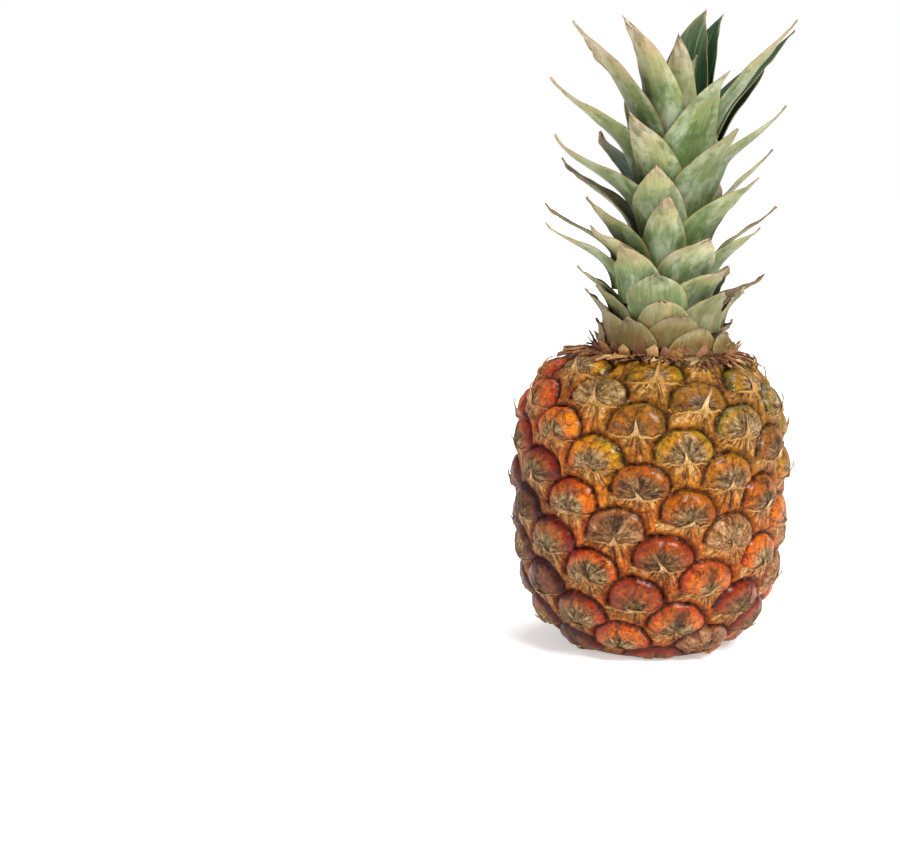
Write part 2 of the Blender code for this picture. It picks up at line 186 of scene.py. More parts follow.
class Nodes:
    # short hand for building one node tree

    def __init__(self, tree):
        self.tree = tree

    def add(self, kind, **settings):
        node = self.tree.nodes.new(kind)
        for key, value in settings.items():
            setattr(node, key, value)
        return node

    def join(self, source, target):
        self.tree.links.new(source, target)

    def feed(self, socket, value):
        # a socket, a number, or a colour given as three values from 0 to 255
        if isinstance(value, bpy.types.NodeSocket):
            self.join(value, socket)
        elif isinstance(value, tuple):
            socket.default_value = hue(*value)
        else:
            socket.default_value = value

    def value(self, name):
        return self.add("ShaderNodeAttribute", attribute_name=name).outputs["Fac"]

    def vector(self, name):
        return self.add("ShaderNodeAttribute", attribute_name=name).outputs["Vector"]

    def sum(self, operation, *values, clamp=False):
        node = self.add("ShaderNodeMath", operation=operation, use_clamp=clamp)
        for socket, value in zip(node.inputs, values):
            self.feed(socket, value)
        return node.outputs[0]

    def times(self, first, second, clamp=False):
        return self.sum("MULTIPLY", first, second, clamp=clamp)

    def plus(self, first, second):
        return self.sum("ADD", first, second)

    def minus(self, first, second, clamp=False):
        return self.sum("SUBTRACT", first, second, clamp=clamp)

    def larger(self, first, second):
        return self.sum("MAXIMUM", first, second)

    def power(self, first, second):
        return self.sum("POWER", first, second)

    def unsigned(self, value):
        return self.sum("ABSOLUTE", value, 0.0)

    def scaled(self, value, size, more):
        return self.sum("MULTIPLY_ADD", value, size, more)

    def both(self, first, firstShare, second, secondShare):
        return self.scaled(first, firstShare, self.times(second, secondShare))

    def uneven(self, value, noise, amount):
        # the value, raised and lowered by a noise that lies about a half
        return self.plus(value, self.scaled(noise, amount, -0.5 * amount))

    def spread(self, value, low, high, toLow=0.0, toHigh=1.0):
        node = self.add("ShaderNodeMapRange", interpolation_type="SMOOTHSTEP")
        self.feed(node.inputs["Value"], value)
        self.feed(node.inputs["From Min"], low)
        self.feed(node.inputs["From Max"], high)
        self.feed(node.inputs["To Min"], toLow)
        self.feed(node.inputs["To Max"], toHigh)
        return node.outputs["Result"]

    def placeInMm(self):
        place = self.add("ShaderNodeTexCoord").outputs["Object"]
        return self.stretch(place, (perMetre, perMetre, perMetre))

    def stretch(self, vector, scale):
        node = self.add("ShaderNodeVectorMath", operation="MULTIPLY")
        self.feed(node.inputs[0], vector)
        node.inputs[1].default_value = scale
        return node.outputs["Vector"]

    def noise(self, vector, scale, detail=3.0, rough=0.55, twist=0.0):
        node = self.add("ShaderNodeTexNoise")
        self.feed(node.inputs["Vector"], vector)
        node.inputs["Scale"].default_value = scale
        node.inputs["Detail"].default_value = detail
        node.inputs["Roughness"].default_value = rough
        node.inputs["Distortion"].default_value = twist
        return node.outputs["Fac"]

    def streaks(self, vector, scale, detail, rough=0.55, twist=0.0):
        # a noise of size 1 in a place stretched along its streaks
        return self.noise(self.stretch(vector, scale), 1.0, detail, rough, twist)

    def bump(self, shader, height, strength, distance):
        node = self.add("ShaderNodeBump")
        node.inputs["Strength"].default_value = strength
        node.inputs["Distance"].default_value = distance
        self.join(height, node.inputs["Height"])
        self.join(node.outputs["Normal"], shader.inputs["Normal"])

    def ramp(self, value, stops):
        node = self.add("ShaderNodeValToRGB")
        elements = node.color_ramp.elements
        elements[0].position = min(stops)
        elements[1].position = max(stops)
        for place in sorted(stops)[1:-1]:
            elements.new(place)
        for element, place in zip(elements, sorted(stops)):
            element.color = hue(*stops[place])
        self.feed(node.inputs["Fac"], value)
        return node.outputs["Color"]

    def mix(self, share, first, second, blend="MIX"):
        node = self.add("ShaderNodeMix", data_type="RGBA", blend_type=blend)
        self.feed(node.inputs["Factor"], share)
        self.feed(node.inputs[6], first)
        self.feed(node.inputs[7], second)
        return node.outputs[2]

    def group(self, group, **values):
        node = self.add("ShaderNodeGroup")
        node.node_tree = group
        for key, value in values.items():
            self.feed(node.inputs[key.replace("_", " ")], value)
        return node


def startGroup(name, inputs, outputs):
    # an effect group with named inputs and outputs
    tree = bpy.data.node_groups.new(name, "ShaderNodeTree")
    for socketName, kind, default in inputs:
        socket = tree.interface.new_socket(socketName, in_out="INPUT", socket_type=kind)
        if default is not None:
            socket.default_value = default
    for socketName, kind in outputs:
        tree.interface.new_socket(socketName, in_out="OUTPUT", socket_type=kind)
    nodes = Nodes(tree)
    start = nodes.add("NodeGroupInput")
    end = nodes.add("NodeGroupOutput")
    return tree, nodes, start.outputs, end.inputs


def startMaterial(name, roughness, specular=0.4):
    material = bpy.data.materials.new(name)
    material.use_nodes = True
    nodes = Nodes(material.node_tree)
    shader = material.node_tree.nodes["Principled BSDF"]
    shader.inputs["Roughness"].default_value = roughness
    shader.inputs["Specular IOR Level"].default_value = specular
    return material, nodes, shader


# shared effects


def makeFibreGroup():
    # fine dry fibres that run along the second axis of the given place
    inputs = [
        ("Place", "NodeSocketVector", None),
        ("Fineness", "NodeSocketFloat", 1.0),
        ("Strength", "NodeSocketFloat", 1.0),
    ]
    outputs = [("Fibre", "NodeSocketFloat"), ("Height", "NodeSocketFloat")]
    tree, nodes, given, result = startGroup("dry fibres", inputs, outputs)
    scaled = nodes.add("ShaderNodeVectorMath", operation="SCALE")
    nodes.join(given["Place"], scaled.inputs[0])
    nodes.join(given["Fineness"], scaled.inputs["Scale"])
    fine = nodes.streaks(scaled.outputs[0], (2.6, 0.22, 1.0), 4.0, 0.65, 0.3)
    broad = nodes.streaks(scaled.outputs[0], (0.9, 0.12, 1.0), 2.0, 0.5, 0.2)
    both = nodes.both(fine, 0.65, broad, 0.35)
    sharp = nodes.spread(both, 0.34, 0.66)
    nodes.join(nodes.times(sharp, given["Strength"]), result["Fibre"])
    nodes.join(nodes.times(both, given["Strength"]), result["Height"])
    return tree


def makeBlotchGroup():
    # soft uneven patches and small specks over the whole fruit
    inputs = [
        ("Place", "NodeSocketVector", None),
        ("Size", "NodeSocketFloat", 1.0),
        ("Amount", "NodeSocketFloat", 0.5),
    ]
    outputs = [("Patch", "NodeSocketFloat"), ("Speck", "NodeSocketFloat")]
    tree, nodes, given, result = startGroup("blotches", inputs, outputs)
    scaled = nodes.add("ShaderNodeVectorMath", operation="SCALE")
    nodes.join(given["Place"], scaled.inputs[0])
    nodes.join(given["Size"], scaled.inputs["Scale"])
    broad = nodes.noise(scaled.outputs[0], 1.0, 4.0, 0.6, 0.4)
    low = nodes.minus(0.85, nodes.times(given["Amount"], 0.5))
    high = nodes.plus(low, 0.16)
    patch = nodes.spread(broad, low, high)
    fine = nodes.noise(scaled.outputs[0], 7.0, 2.0, 0.5)
    speck = nodes.spread(fine, 0.66, 0.74)
    nodes.join(patch, result["Patch"])
    nodes.join(speck, result["Speck"])
    return tree


fibreGroup = makeFibreGroup()
blotchGroup = makeBlotchGroup()
print("effect groups made")


# the fruit's rind: a barrel covered with eyes on one spiral

rindShape = {
    "radius": 59.2 * mm,
    "height": 131.6 * mm,
    "waist": 71.0 * mm,
    "shoulderPower": 3.4,
    "footPower": 2.8,
    "footDepth": 4.7 * mm,
    "columns": 440,
    "rows": 204,
    "baseFade": 7.0 * mm,
    "crownSeat": 26.0 * mm,
    "seatFade": 9.0 * mm,
    "pocketRadius": 12.4 * mm,
    "pocketDepth": 6.4 * mm,
    "pocketLip": 0.3 * mm,
    "footDent": 0.35 * mm,
}
eyeLayout = {
    "turn": math.radians(137.506),
    "frontTurn": math.radians(-3.2),
    "area": 511.0 * mm * mm,
    "frontShare": 0.5744,
    "first": -44,
    "last": 60,
    "rows": 8,
    "slips": (0.0, 0.29, 0.09, 0.17, 0.26, 0.34, 0.15, 0.11),
}
# the eyes' sizes in millimetres on the rind
eyeShape = {
    "halfWidth": 12.9,
    "topReach": 11.4,
    "lowReach": 12.5,
    "centreDrop": 3.6,
    "roundness": 2.15,
    "dome": 3.5,
    "edgeLevel": 0.2,
    "lipDrop": 6.8,
    "lipRise": 1.8,
    "wingWidth": 17.5,
    "bractLevel": 1.75,
    "bractReach": 17.0,
    "grooveWidth": 1.35,
    "grooveDepth": 1.9,
    "shadeWidth": 3.4,
    "sunk": 1.3,
    "beakDrop": 4.4,
    "foldDepth": 0.75,
    "pitDepth": 0.9,
    "pitWidth": 2.4,
    "beadHeight": 0.28,
    "swellHeight": 0.22,
    "lipSink": 0.7,
    "pleatDepth": 0.42,
    "ribHeight": 0.16,
    "nearAcross": 21.0,
    "nearBelow": 27.0,
    "nearAbove": 14.0,
}


class Outline:
    # the fruit's outline by distance along it

    def __init__(self):
        shape = rindShape
        angles = np.linspace(0.0, math.pi, 1601)
        heights = shape["height"] * 0.5 * (1.0 - np.cos(angles))
        upper = np.clip((heights - shape["waist"]) / (shape["height"] - shape["waist"]), 0, 1)
        lower = np.clip((shape["waist"] - heights) / (shape["waist"] + shape["footDepth"]), 0, 1)
        top = np.maximum(1.0 - upper ** shape["shoulderPower"], 0) ** (1 / shape["shoulderPower"])
        foot = np.maximum(1.0 - lower ** shape["footPower"], 0) ** (1 / shape["footPower"])
        radii = shape["radius"] * np.where(heights > shape["waist"], top, foot)
        steps = np.hypot(np.diff(heights), np.diff(radii))
        middle = 0.5 * (radii[1:] + radii[:-1])
        self.heights = heights
        self.radii = radii
        self.lengths = np.concatenate([[0.0], np.cumsum(steps)])
        self.areas = np.concatenate([[0.0], np.cumsum(tau * middle * steps)])
        self.slopesOut = np.gradient(heights, self.lengths)
        self.slopesUp = -np.gradient(radii, self.lengths)

    def at(self, length):
        height = np.interp(length, self.lengths, self.heights)
        radius = np.interp(length, self.lengths, self.radii)
        outX = np.interp(length, self.lengths, self.slopesOut)
        outZ = np.interp(length, self.lengths, self.slopesUp)
        size = np.maximum(np.hypot(outX, outZ), 1e-9)
        return height, radius, outX / size, outZ / size


outline = Outline()
fullLength = outline.lengths[-1]


def placeEyes():
    layout = eyeLayout
    eyes = []
    rowTurn = layout["rows"] * layout["turn"] % tau
    for number in range(layout["first"], layout["last"] + 1):
        slip = layout["slips"][number * 3 % layout["rows"]]
        turn = layout["frontTurn"] + number * layout["turn"] + slip * rowTurn
        area = outline.areas[-1] * layout["frontShare"]
        area -= (number + layout["rows"] * slip) * layout["area"]
        if 0.0 < area < outline.areas[-1]:
            length = np.interp(area, outline.areas, outline.lengths)
            eyes.append((number, wrapTurn(turn), float(length)))
    return eyes


eyes = placeEyes()


def eyeNumbers(number):
    # the same few random numbers for an eye wherever they are used
    return np.random.default_rng(1000 + number).random(24)


def lipLine(across, numbers):
    # height of the bract's upper edge below the eye's centre, in millimetres
    shape = eyeShape
    wobble = 0.35 * wave(across * 0.55, numbers[0]) + 0.2 * wave(across * 1.3, numbers[1])
    return -shape["lipDrop"] + shape["lipRise"] * (across / 14.0) ** 2 + wobble


def creases(angle, numbers, offset):
    # sharp folds that run out from a point, as a height from 0 down to -1
    total = np.zeros_like(angle)
    for step, (count, size) in enumerate(((3.0, 0.9), (5.0, 0.7), (8.0, 0.45))):
        phase = tau * numbers[(offset + step) % 24]
        ridge = 1.0 - np.abs(np.sin(0.5 * count * angle + phase + 0.9 * np.sin(angle * 2 + phase)))
        window = 0.5 + 0.5 * np.sin(1.7 * angle + 2.3 * phase + step)
        total += size * ridge**7 * window
    return np.clip(total, 0.0, 1.0)


# what a place on the rind is before any eye or bract reaches it
rindStart = {
    "lift": 0.0,
    "rimIn": 0.0,
    "crease": 0.0,
    "bractDown": 1.0,
    "eyeTone": 0.5,
    "eyeGrey": 0.5,
    "fibreAcross": 0.0,
    "fibreAlong": 0.0,
}


def eyeFacts(number, numbers, angle, far, crease, lift):
    # what the shader needs to know about a place on an eye or its bract
    return {
        "lift": lift,
        "crease": crease,
        "eyeTone": numbers[13],
        "eyeGrey": numbers[14],
        "fibreAcross": angle + number * 37.0,
        "fibreAlong": far,
    }


def domeOf(number, numbers, across, up, lip):
    # one eye's dome: the share of the way out to its edge, and its facts
    shape = eyeShape
    width = shape["halfWidth"] * (0.96 + 0.08 * numbers[2])
    raised = up + shape["centreDrop"]
    reach = np.where(raised > 0, shape["topReach"], shape["lowReach"])
    bearing = np.arctan2(across, raised)
    power = shape["roundness"]
    out = ((np.abs(across) / width) ** power + (np.abs(raised) / reach) ** power) ** (1 / power)
    out = out * (1.0 + 0.025 * wave(3 * bearing, numbers[3]) + 0.018 * wave(7 * bearing, numbers[4]))
    share = np.clip(out, 0.0, 1.0)
    rimIn = (1.0 - share) * width
    # folds run out from the beak, where the bract's spine meets the dome
    beakUp = up + shape["beakDrop"]
    beakAngle = np.arctan2(across, beakUp)
    beakFar = np.hypot(across, beakUp * 1.25)
    foldFade = smoothStep(0.6, 3.0, beakFar) * smoothStep(0.5, 4.5, rimIn)
    fold = creases(beakAngle, numbers, 6) * foldFade
    middle = bell(across + 0.6 * wave(up * 0.9, numbers[7]), 0.55)
    middle = middle * smoothStep(-5.0, -3.0, up) * smoothStep(1.0, 3.5, rimIn)
    fold = np.maximum(fold, middle * (0.5 + 0.5 * numbers[8]))
    # the swollen face, its pit, the beads round its rim and its soft swells
    bulge = (1.0 - share**2.6) ** 0.75
    lift = shape["edgeLevel"] + shape["dome"] * (0.85 + 0.3 * numbers[5]) * bulge
    lift -= shape["foldDepth"] * fold
    lift -= shape["pitDepth"] * bell(beakFar, shape["pitWidth"]) * (0.4 + 0.6 * numbers[9])
    beads = bell(share - 0.87, 0.06) * np.maximum(np.cos(13 * bearing + tau * numbers[10]), 0) ** 2
    lift += shape["beadHeight"] * beads
    swell = wave(across * 0.7, numbers[11]) * wave(up * 0.8, numbers[12])
    lift += shape["swellHeight"] * swell * smoothStep(1.0, 4.0, rimIn)
    lift -= shape["lipSink"] * smoothStep(2.5, 0.0, up - lip)
    facts = eyeFacts(number, numbers, beakAngle * 6.0, beakFar, fold, lift)
    return out, {**facts, "rimIn": rimIn}


def bractOf(number, numbers, across, up, lip):
    # the bract below an eye: how strongly it covers each place, and its facts
    shape = eyeShape
    down = lip - up
    wing = np.clip(1.0 - (np.abs(across) / shape["wingWidth"]) ** 2.4, 0.0, 1.0)
    level = shape["bractLevel"] * wing**0.8 * (1.0 - 0.62 * np.clip(down / 13.0, 0, 1) ** 0.8)
    reachDown = smoothStep(shape["bractReach"] + 3.0, shape["bractReach"] - 2.0, down)
    cover = np.where((down >= 0) & (wing > 0), level * reachDown + 0.01, -9.0)
    tipAngle = np.arctan2(across, 2.5 - up - shape["lipDrop"] + 2.0)
    tipFar = np.hypot(across, up + shape["lipDrop"])
    pleats = creases(tipAngle * 1.4, numbers, 11) * smoothStep(1.0, 5.0, tipFar)
    centreFold = bell(across + 0.5 * wave(up * 0.5, numbers[15]), 0.5)
    pleats = np.maximum(0.6 * pleats, centreFold * smoothStep(0.5, 3.0, down) * 0.9)
    lift = level - shape["pleatDepth"] * pleats
    lift += shape["ribHeight"] * wave(tipAngle * 21, numbers[16]) * smoothStep(2, 6, tipFar)
    facts = eyeFacts(number, numbers, tipAngle * 9.0, tipFar, pleats, lift)
    facts["fibreAcross"] = facts["fibreAcross"] + 500.0
    return cover, {**facts, "bractDown": np.clip(down / 14.0, 0, 1)}


def keepFacts(kept, facts, near, where):
    for name, numbers in facts.items():
        kept[name][near[where]] = np.broadcast_to(numbers, near.shape)[where]


def rindField(turn, length, radius):
    # how far the rind stands out in millimetres, and what lies at each place
    shape = eyeShape
    count = len(turn)
    domeShare = np.full(count, 9.0)
    edgeShare = np.full(count, 9.0)
    bractCover = np.full(count, -9.0)
    domes = {name: np.full(count, start) for name, start in rindStart.items()}
    bracts = {name: np.full(count, start) for name, start in rindStart.items()}
    for number, eyeTurn, eyeLength in eyes:
        across = wrapTurn(turn - eyeTurn) * radius * perMetre
        up = (length - eyeLength) * perMetre
        inReach = (np.abs(across) < shape["nearAcross"]) & (up > -shape["nearBelow"])
        near = np.nonzero(inReach & (up < shape["nearAbove"]))[0]
        if len(near) == 0:
            continue
        across = across[near]
        up = up[near]
        numbers = eyeNumbers(number)
        lip = lipLine(across, numbers)
        out, facts = domeOf(number, numbers, across, up, lip)
        inside = (out < 1.0) & (up > lip) & (out < domeShare[near])
        domeShare[near[inside]] = out[inside]
        keepFacts(domes, facts, near, inside)
        edge = out + (1.0 - smoothStep(-1.0, 0.6, up - lip)) * 3.0
        edgeShare[near] = np.minimum(edgeShare[near], edge)
        cover, facts = bractOf(number, numbers, across, up, lip)
        better = cover > bractCover[near]
        bractCover[near[better]] = cover[better]
        keepFacts(bracts, facts, near, better)
    onDome = domeShare < 1.0
    values = {name: np.where(onDome, domes[name], bracts[name]) for name in rindStart}
    away = np.abs(edgeShare - 1.0) * shape["halfWidth"]
    groove = bell(away, shape["grooveWidth"])
    values["bractZone"] = np.where(onDome, 0.0, 1.0)
    values["groove"] = groove
    # a mask along the domes' edges: it warms the bracts' sides and carries the painted shade beside the
    # grooves
    values["sideWarmthAndShade"] = np.where(onDome, groove * 0.6, bell(away, shape["shadeWidth"]))
    lift = values.pop("lift") - shape["grooveDepth"] * groove * np.where(onDome, 0.35, 1.0)
    return lift - shape["sunk"], values


def rindPlace(turn, length, lift):
    # world points on the rind, lifted by so many metres
    height, radius, outX, outZ = outline.at(length)
    return around(turn, radius + lift * outX, height + lift * outZ)


def rindRelief(length, height, radius):
    shape = rindShape
    relief = smoothStep(0.0, shape["baseFade"], length)
    seat = smoothStep(shape["crownSeat"], shape["crownSeat"] + shape["seatFade"], radius)
    return np.where(height > shape["waist"], relief * seat, relief)


def rindLift(turn, length):
    # the finished rind's lift in metres, for anything that sits on it
    height, radius, _, _ = outline.at(length)
    field, _ = rindField(turn, length, radius)
    return field * rindRelief(length, height, radius) * mm


def makeRindMaterial():
    material, nodes, shader = startMaterial("pineapple rind", 0.5, 0.14)
    inMm = nodes.placeInMm()
    ripe = nodes.value("ripeness")
    tone = nodes.value("eyeTone")
    grey = nodes.value("eyeGrey")
    zone = nodes.value("bractZone")
    rimIn = nodes.value("rimIn")
    crease = nodes.value("crease")
    groove = nodes.value("groove")
    side = nodes.value("sideWarmthAndShade")
    down = nodes.value("bractDown")
    under = nodes.value("underside")
    fibrePlace = nodes.vector("fibrePlace")
    broad = nodes.noise(inMm, 0.11, 3.0, 0.6, 0.5)
    uneven = nodes.noise(inMm, 0.55, 4.0, 0.65, 0.6)
    # rims of the eyes, from olive through orange to crimson as the fruit turns
    shifted = nodes.uneven(ripe, broad, 0.5)
    shifted = nodes.uneven(shifted, tone, 0.16)
    rimColour = nodes.ramp(shifted, {
        0.05: (124, 120, 6), 0.22: (184, 144, 2), 0.42: (226, 130, 0), 0.60: (216, 84, 0),
        0.76: (180, 42, 4), 0.90: (132, 24, 18), 1.0: (92, 20, 24),
    })
    # weathered grey-beige middles with darker wrinkles
    fibres = nodes.group(fibreGroup, Place=fibrePlace, Fineness=1.0, Strength=1.0)
    splitPlace = nodes.add("ShaderNodeSeparateXYZ")
    nodes.join(fibrePlace, splitPlace.inputs[0])
    fromBeak = splitPlace.outputs["Y"]
    patchy = nodes.noise(inMm, 0.33, 4.0, 0.7, 0.8)
    wrinkles = nodes.group(fibreGroup, Place=fibrePlace, Fineness=0.5, Strength=1.0).outputs["Fibre"]
    middleShare = nodes.both(wrinkles, 0.44, uneven, 0.34)
    middleShare = nodes.plus(middleShare, nodes.scaled(patchy, 0.5, -0.14))
    middleColour = nodes.ramp(middleShare, {
        0.14: (44, 30, 16), 0.32: (104, 80, 52), 0.48: (158, 134, 98), 0.64: (200, 178, 142),
        0.90: (236, 222, 190),
    })
    greyReach = nodes.scaled(grey, 7.5, 4.6)
    ragged = nodes.plus(nodes.scaled(patchy, 7.0, -3.5), nodes.times(fibres.outputs["Fibre"], 1.6))
    beyond = nodes.minus(nodes.plus(fromBeak, ragged), greyReach)
    core = nodes.spread(beyond, -1.6, 2.4, 1.0, 0.0)
    rimKept = nodes.spread(nodes.scaled(patchy, 1.6, rimIn), 1.9, 3.8)
    weather = nodes.times(core, rimKept)
    glowColour = nodes.mix(0.55, rimColour, (250, 156, 0))
    innerRim = nodes.mix(nodes.spread(rimIn, 1.2, 4.5, 0.0, 0.7), rimColour, glowColour)
    domeColour = nodes.mix(weather, innerRim, middleColour)
    worn = nodes.spread(grey, 0.70, 0.84, 0.0, 0.85)
    domeColour = nodes.mix(worn, domeColour, nodes.mix(0.8, rimColour, middleColour))
    dusky = nodes.mix(1.0, domeColour, (182, 150, 122), blend="MULTIPLY")
    domeColour = nodes.mix(nodes.spread(tone, 0.6, 0.95, 0.0, 0.8), domeColour, dusky)
    rust = nodes.spread(nodes.noise(inMm, 0.24, 4.0, 0.7, 1.0), 0.50, 0.70, 0.0, 0.45)
    domeColour = nodes.mix(rust, domeColour, nodes.mix(0.5, rimColour, (84, 48, 24)))
    # bracts: straw fibres in the middle, warm and ripe down the sides
    streaked = nodes.group(fibreGroup, Place=fibrePlace, Fineness=0.42, Strength=1.0).outputs["Fibre"]
    strawColour = nodes.ramp(nodes.both(streaked, 0.62, patchy, 0.5), {
        0.16: (50, 26, 8), 0.34: (112, 66, 20), 0.54: (176, 122, 50), 0.80: (240, 204, 142),
    })
    warmBract = nodes.mix(0.45, rimColour, (226, 130, 0))
    downUneven = nodes.uneven(down, patchy, 1.5)
    warmShare = nodes.spread(downUneven, 0.05, 0.72, 0.08, 0.9)
    warmShare = nodes.larger(warmShare, nodes.times(nodes.spread(side, 0.15, 0.8), 0.9))
    bractColour = nodes.mix(warmShare, strawColour, warmBract)
    streakDark = nodes.spread(streaked, 0.0, 0.4, 0.55, 0.0)
    bractColour = nodes.mix(streakDark, bractColour, (84, 40, 12))
    colour = nodes.mix(zone, domeColour, bractColour)
    # painted shade in the folds and grooves, the grooves' own dark red-brown, and scattered dark patches
    blotches = nodes.group(blotchGroup, Place=inMm, Size=0.35, Amount=0.7)
    colour = nodes.mix(nodes.times(blotches.outputs["Patch"], 0.55), colour, (84, 58, 42))
    colour = nodes.mix(nodes.times(blotches.outputs["Speck"], 0.35), colour, (60, 38, 22))
    # painted shade: the folds and pleats of eyes and bracts darkened almost to black
    foldShade = nodes.times(crease, nodes.scaled(uneven, 1.6, 0.3), clamp=True)
    colour = nodes.mix(nodes.times(foldShade, 0.82), colour, (38, 20, 8))
    # dark red-brown for the grooves: partly their own colour, partly painted shade
    grooveTintAndShade = nodes.mix(nodes.spread(ripe, 0.2, 0.9), (54, 30, 8), (66, 14, 8))
    # painted shade: dark red-brown over the bracts beside the domes' edges and just inside the domes'
    # rims
    edgeShadeColour = nodes.mix(nodes.spread(ripe, 0.2, 0.9), (104, 54, 4), (104, 22, 6))
    sideUneven = nodes.times(side, nodes.scaled(patchy, 1.2, 0.2), clamp=True)
    colour = nodes.mix(nodes.spread(sideUneven, 0.25, 0.95, 0.0, 0.8), colour, edgeShadeColour)
    # the grooves between the eyes: their own dark red-brown, deepened by painted shade
    grooveUneven = nodes.times(groove, nodes.scaled(patchy, 1.9, -0.05))
    grooveTintAndShadeMask = nodes.spread(grooveUneven, 0.36, 1.0, 0.0, 0.9)
    colour = nodes.mix(grooveTintAndShadeMask, colour, grooveTintAndShade)
    scar = nodes.ramp(uneven, {0.25: (92, 66, 40), 0.75: (160, 126, 82)})
    colour = nodes.mix(under, colour, scar)
    mottled = nodes.noise(inMm, 0.36, 6.0, 0.8, 0.9)
    aged = nodes.ramp(mottled, {0.36: (92, 64, 42), 0.47: (208, 190, 160), 0.58: (255, 250, 236)})
    colour = nodes.mix(1.0, colour, aged, blend="MULTIPLY")
    flecks = nodes.noise(nodes.stretch(fibrePlace, (1.0, 0.4, 1.0)), 0.9, 4.0, 0.75, 0.8)
    flecks = nodes.spread(flecks, 0.58, 0.74)
    fleckShare = nodes.times(flecks, nodes.larger(weather, nodes.times(zone, 0.8)))
    colour = nodes.mix(nodes.times(fleckShare, 0.75), colour, (222, 192, 148))
    nodes.join(colour, shader.inputs["Base Color"])
    rough = nodes.scaled(weather, 0.34, 0.36)
    rough = nodes.larger(rough, nodes.times(zone, 0.52))
    rough = nodes.uneven(rough, uneven, 0.24)
    nodes.join(rough, shader.inputs["Roughness"])
    gloss = nodes.times(nodes.minus(1.0, weather), nodes.minus(1.0, zone))
    nodes.join(nodes.scaled(gloss, 0.25, 0.06), shader.inputs["Coat Weight"])
    shader.inputs["Coat Roughness"].default_value = 0.22
    fine = nodes.noise(inMm, 0.9, 5.0, 0.7)
    height = nodes.both(fibres.outputs["Height"], 0.7, fine, 0.6)
    height = nodes.plus(height, nodes.times(mottled, 0.7))
    nodes.bump(shader, height, 1.0, 0.0013)
    return material


def ripenessAt(points):
    # 0 is olive green, 0.5 orange, 1 crimson: greener at the top right, redder at the left and foot
    x = points[:, 0] / rindShape["radius"]
    y = points[:, 1] / rindShape["radius"]
    z = points[:, 2] / rindShape["height"]
    side = smoothStep(-0.15, -0.85, x) * 0.50
    low = smoothStep(0.80, 0.12, z) * 0.40
    high = smoothStep(0.62, 0.95, z) * -0.14
    green = smoothStep(-0.1, 0.6, x) * smoothStep(0.45, 0.85, z) * -0.10
    behind = smoothStep(0.1, 0.9, y) * 0.10
    return np.clip(0.27 + side + low + high + green + behind, 0.0, 1.0)


def footPoints(turns):
    # the pocket for the stalk, then the flat scarred foot, from the inside outwards
    shape = rindShape
    pocket = shape["pocketRadius"]
    depth = shape["pocketDepth"]
    wide = float(outline.at(0.0)[1]) - pocket
    rings = [(pocket * 0.5, depth), (pocket, depth), (pocket, depth * 0.5), (pocket, shape["pocketLip"])]
    rings += [(pocket + wide * share, 0.0) for share in np.linspace(0.06, 0.94, 9)]
    points = []
    for reach, level in rings:
        if level == 0.0:
            scars = np.sin(turns * 9 + reach * 700.0) * np.sin(turns * 23 + reach * 1500.0)
            level = shape["footDent"] * (1.0 + scars)
        points.append(around(turns, reach, level))
    return np.concatenate(points)


def buildRind():
    shape = rindShape
    columns = shape["columns"]
    turns = tau * np.arange(columns) / columns
    lengths = fullLength * np.linspace(0.0, 1.0, shape["rows"] + 1)[:-1]
    turn = np.tile(turns, len(lengths))
    length = np.repeat(lengths, columns)
    height, radius, _, _ = outline.at(length)
    field, values = rindField(turn, length, radius)
    points = rindPlace(turn, length, field * rindRelief(length, height, radius) * mm)
    points[:, 2] = np.maximum(points[:, 2], 0.0)
    foot = footPoints(turns)
    count = len(foot)
    ends = [[0, 0, shape["pocketDepth"]], [0, 0, shape["height"]]]
    allPoints = np.concatenate([foot, points, ends])
    faces = ringFaces((count + len(points)) // columns, columns)
    low = count + len(points)
    for column in range(columns):
        after = (column + 1) % columns
        faces.append((after, column, low))
        faces.append((low - columns + column, low - columns + after, low + 1))
    # the foot's own fibres run along the front
    values["fibreAcross"] = np.concatenate([foot[:, 0] * 900, values["fibreAcross"]])
    values["fibreAlong"] = np.concatenate([foot[:, 1] * 900, values["fibreAlong"]])
    attributes = {}
    for key, numbers in values.items():
        before = np.zeros(len(allPoints) - 2 - len(numbers))
        attributes[key] = np.concatenate([before, numbers, np.zeros(2)])
    across = attributes.pop("fibreAcross")
    along = attributes.pop("fibreAlong")
    attributes["fibrePlace"] = np.stack([across, along, np.zeros(len(across))], axis=-1)
    attributes["ripeness"] = ripenessAt(allPoints)
    seatBare = np.where(height > shape["waist"], smoothStep(34 * mm, 27 * mm, radius), 0.0)
    under = np.maximum(smoothStep(4.0 * mm, 0.0, length), 0.6 * seatBare)
    attributes["underside"] = np.concatenate([np.ones(count), under, np.ones(2)])
    material = makeRindMaterial()
    makePiece("rind", allPoints, faces, material, attributes, ["fruit_body"], sharp=80.0)


buildRind()
print("rind built")


# the dry tip of each bract: a papery lip with a spine that rises over the eye

tipShape = {
    "halfWidth": 12.5,
    "lipHeight": 1.3,
    "spineShortest": 2.0,
    "spineLongest": 7.2,
    "topExtra": 9.0,
    "spineWidth": 0.062,
    "thickness": 0.28,
    "columns": 45,
    "rows": 8,
    "sway": 7.0,
    "leastCurl": 0.4,
    "moreCurl": 2.4,
    "keel": 0.35,
    "lowest": 9.0 * mm,
    "seatRadius": 33.0 * mm,
}


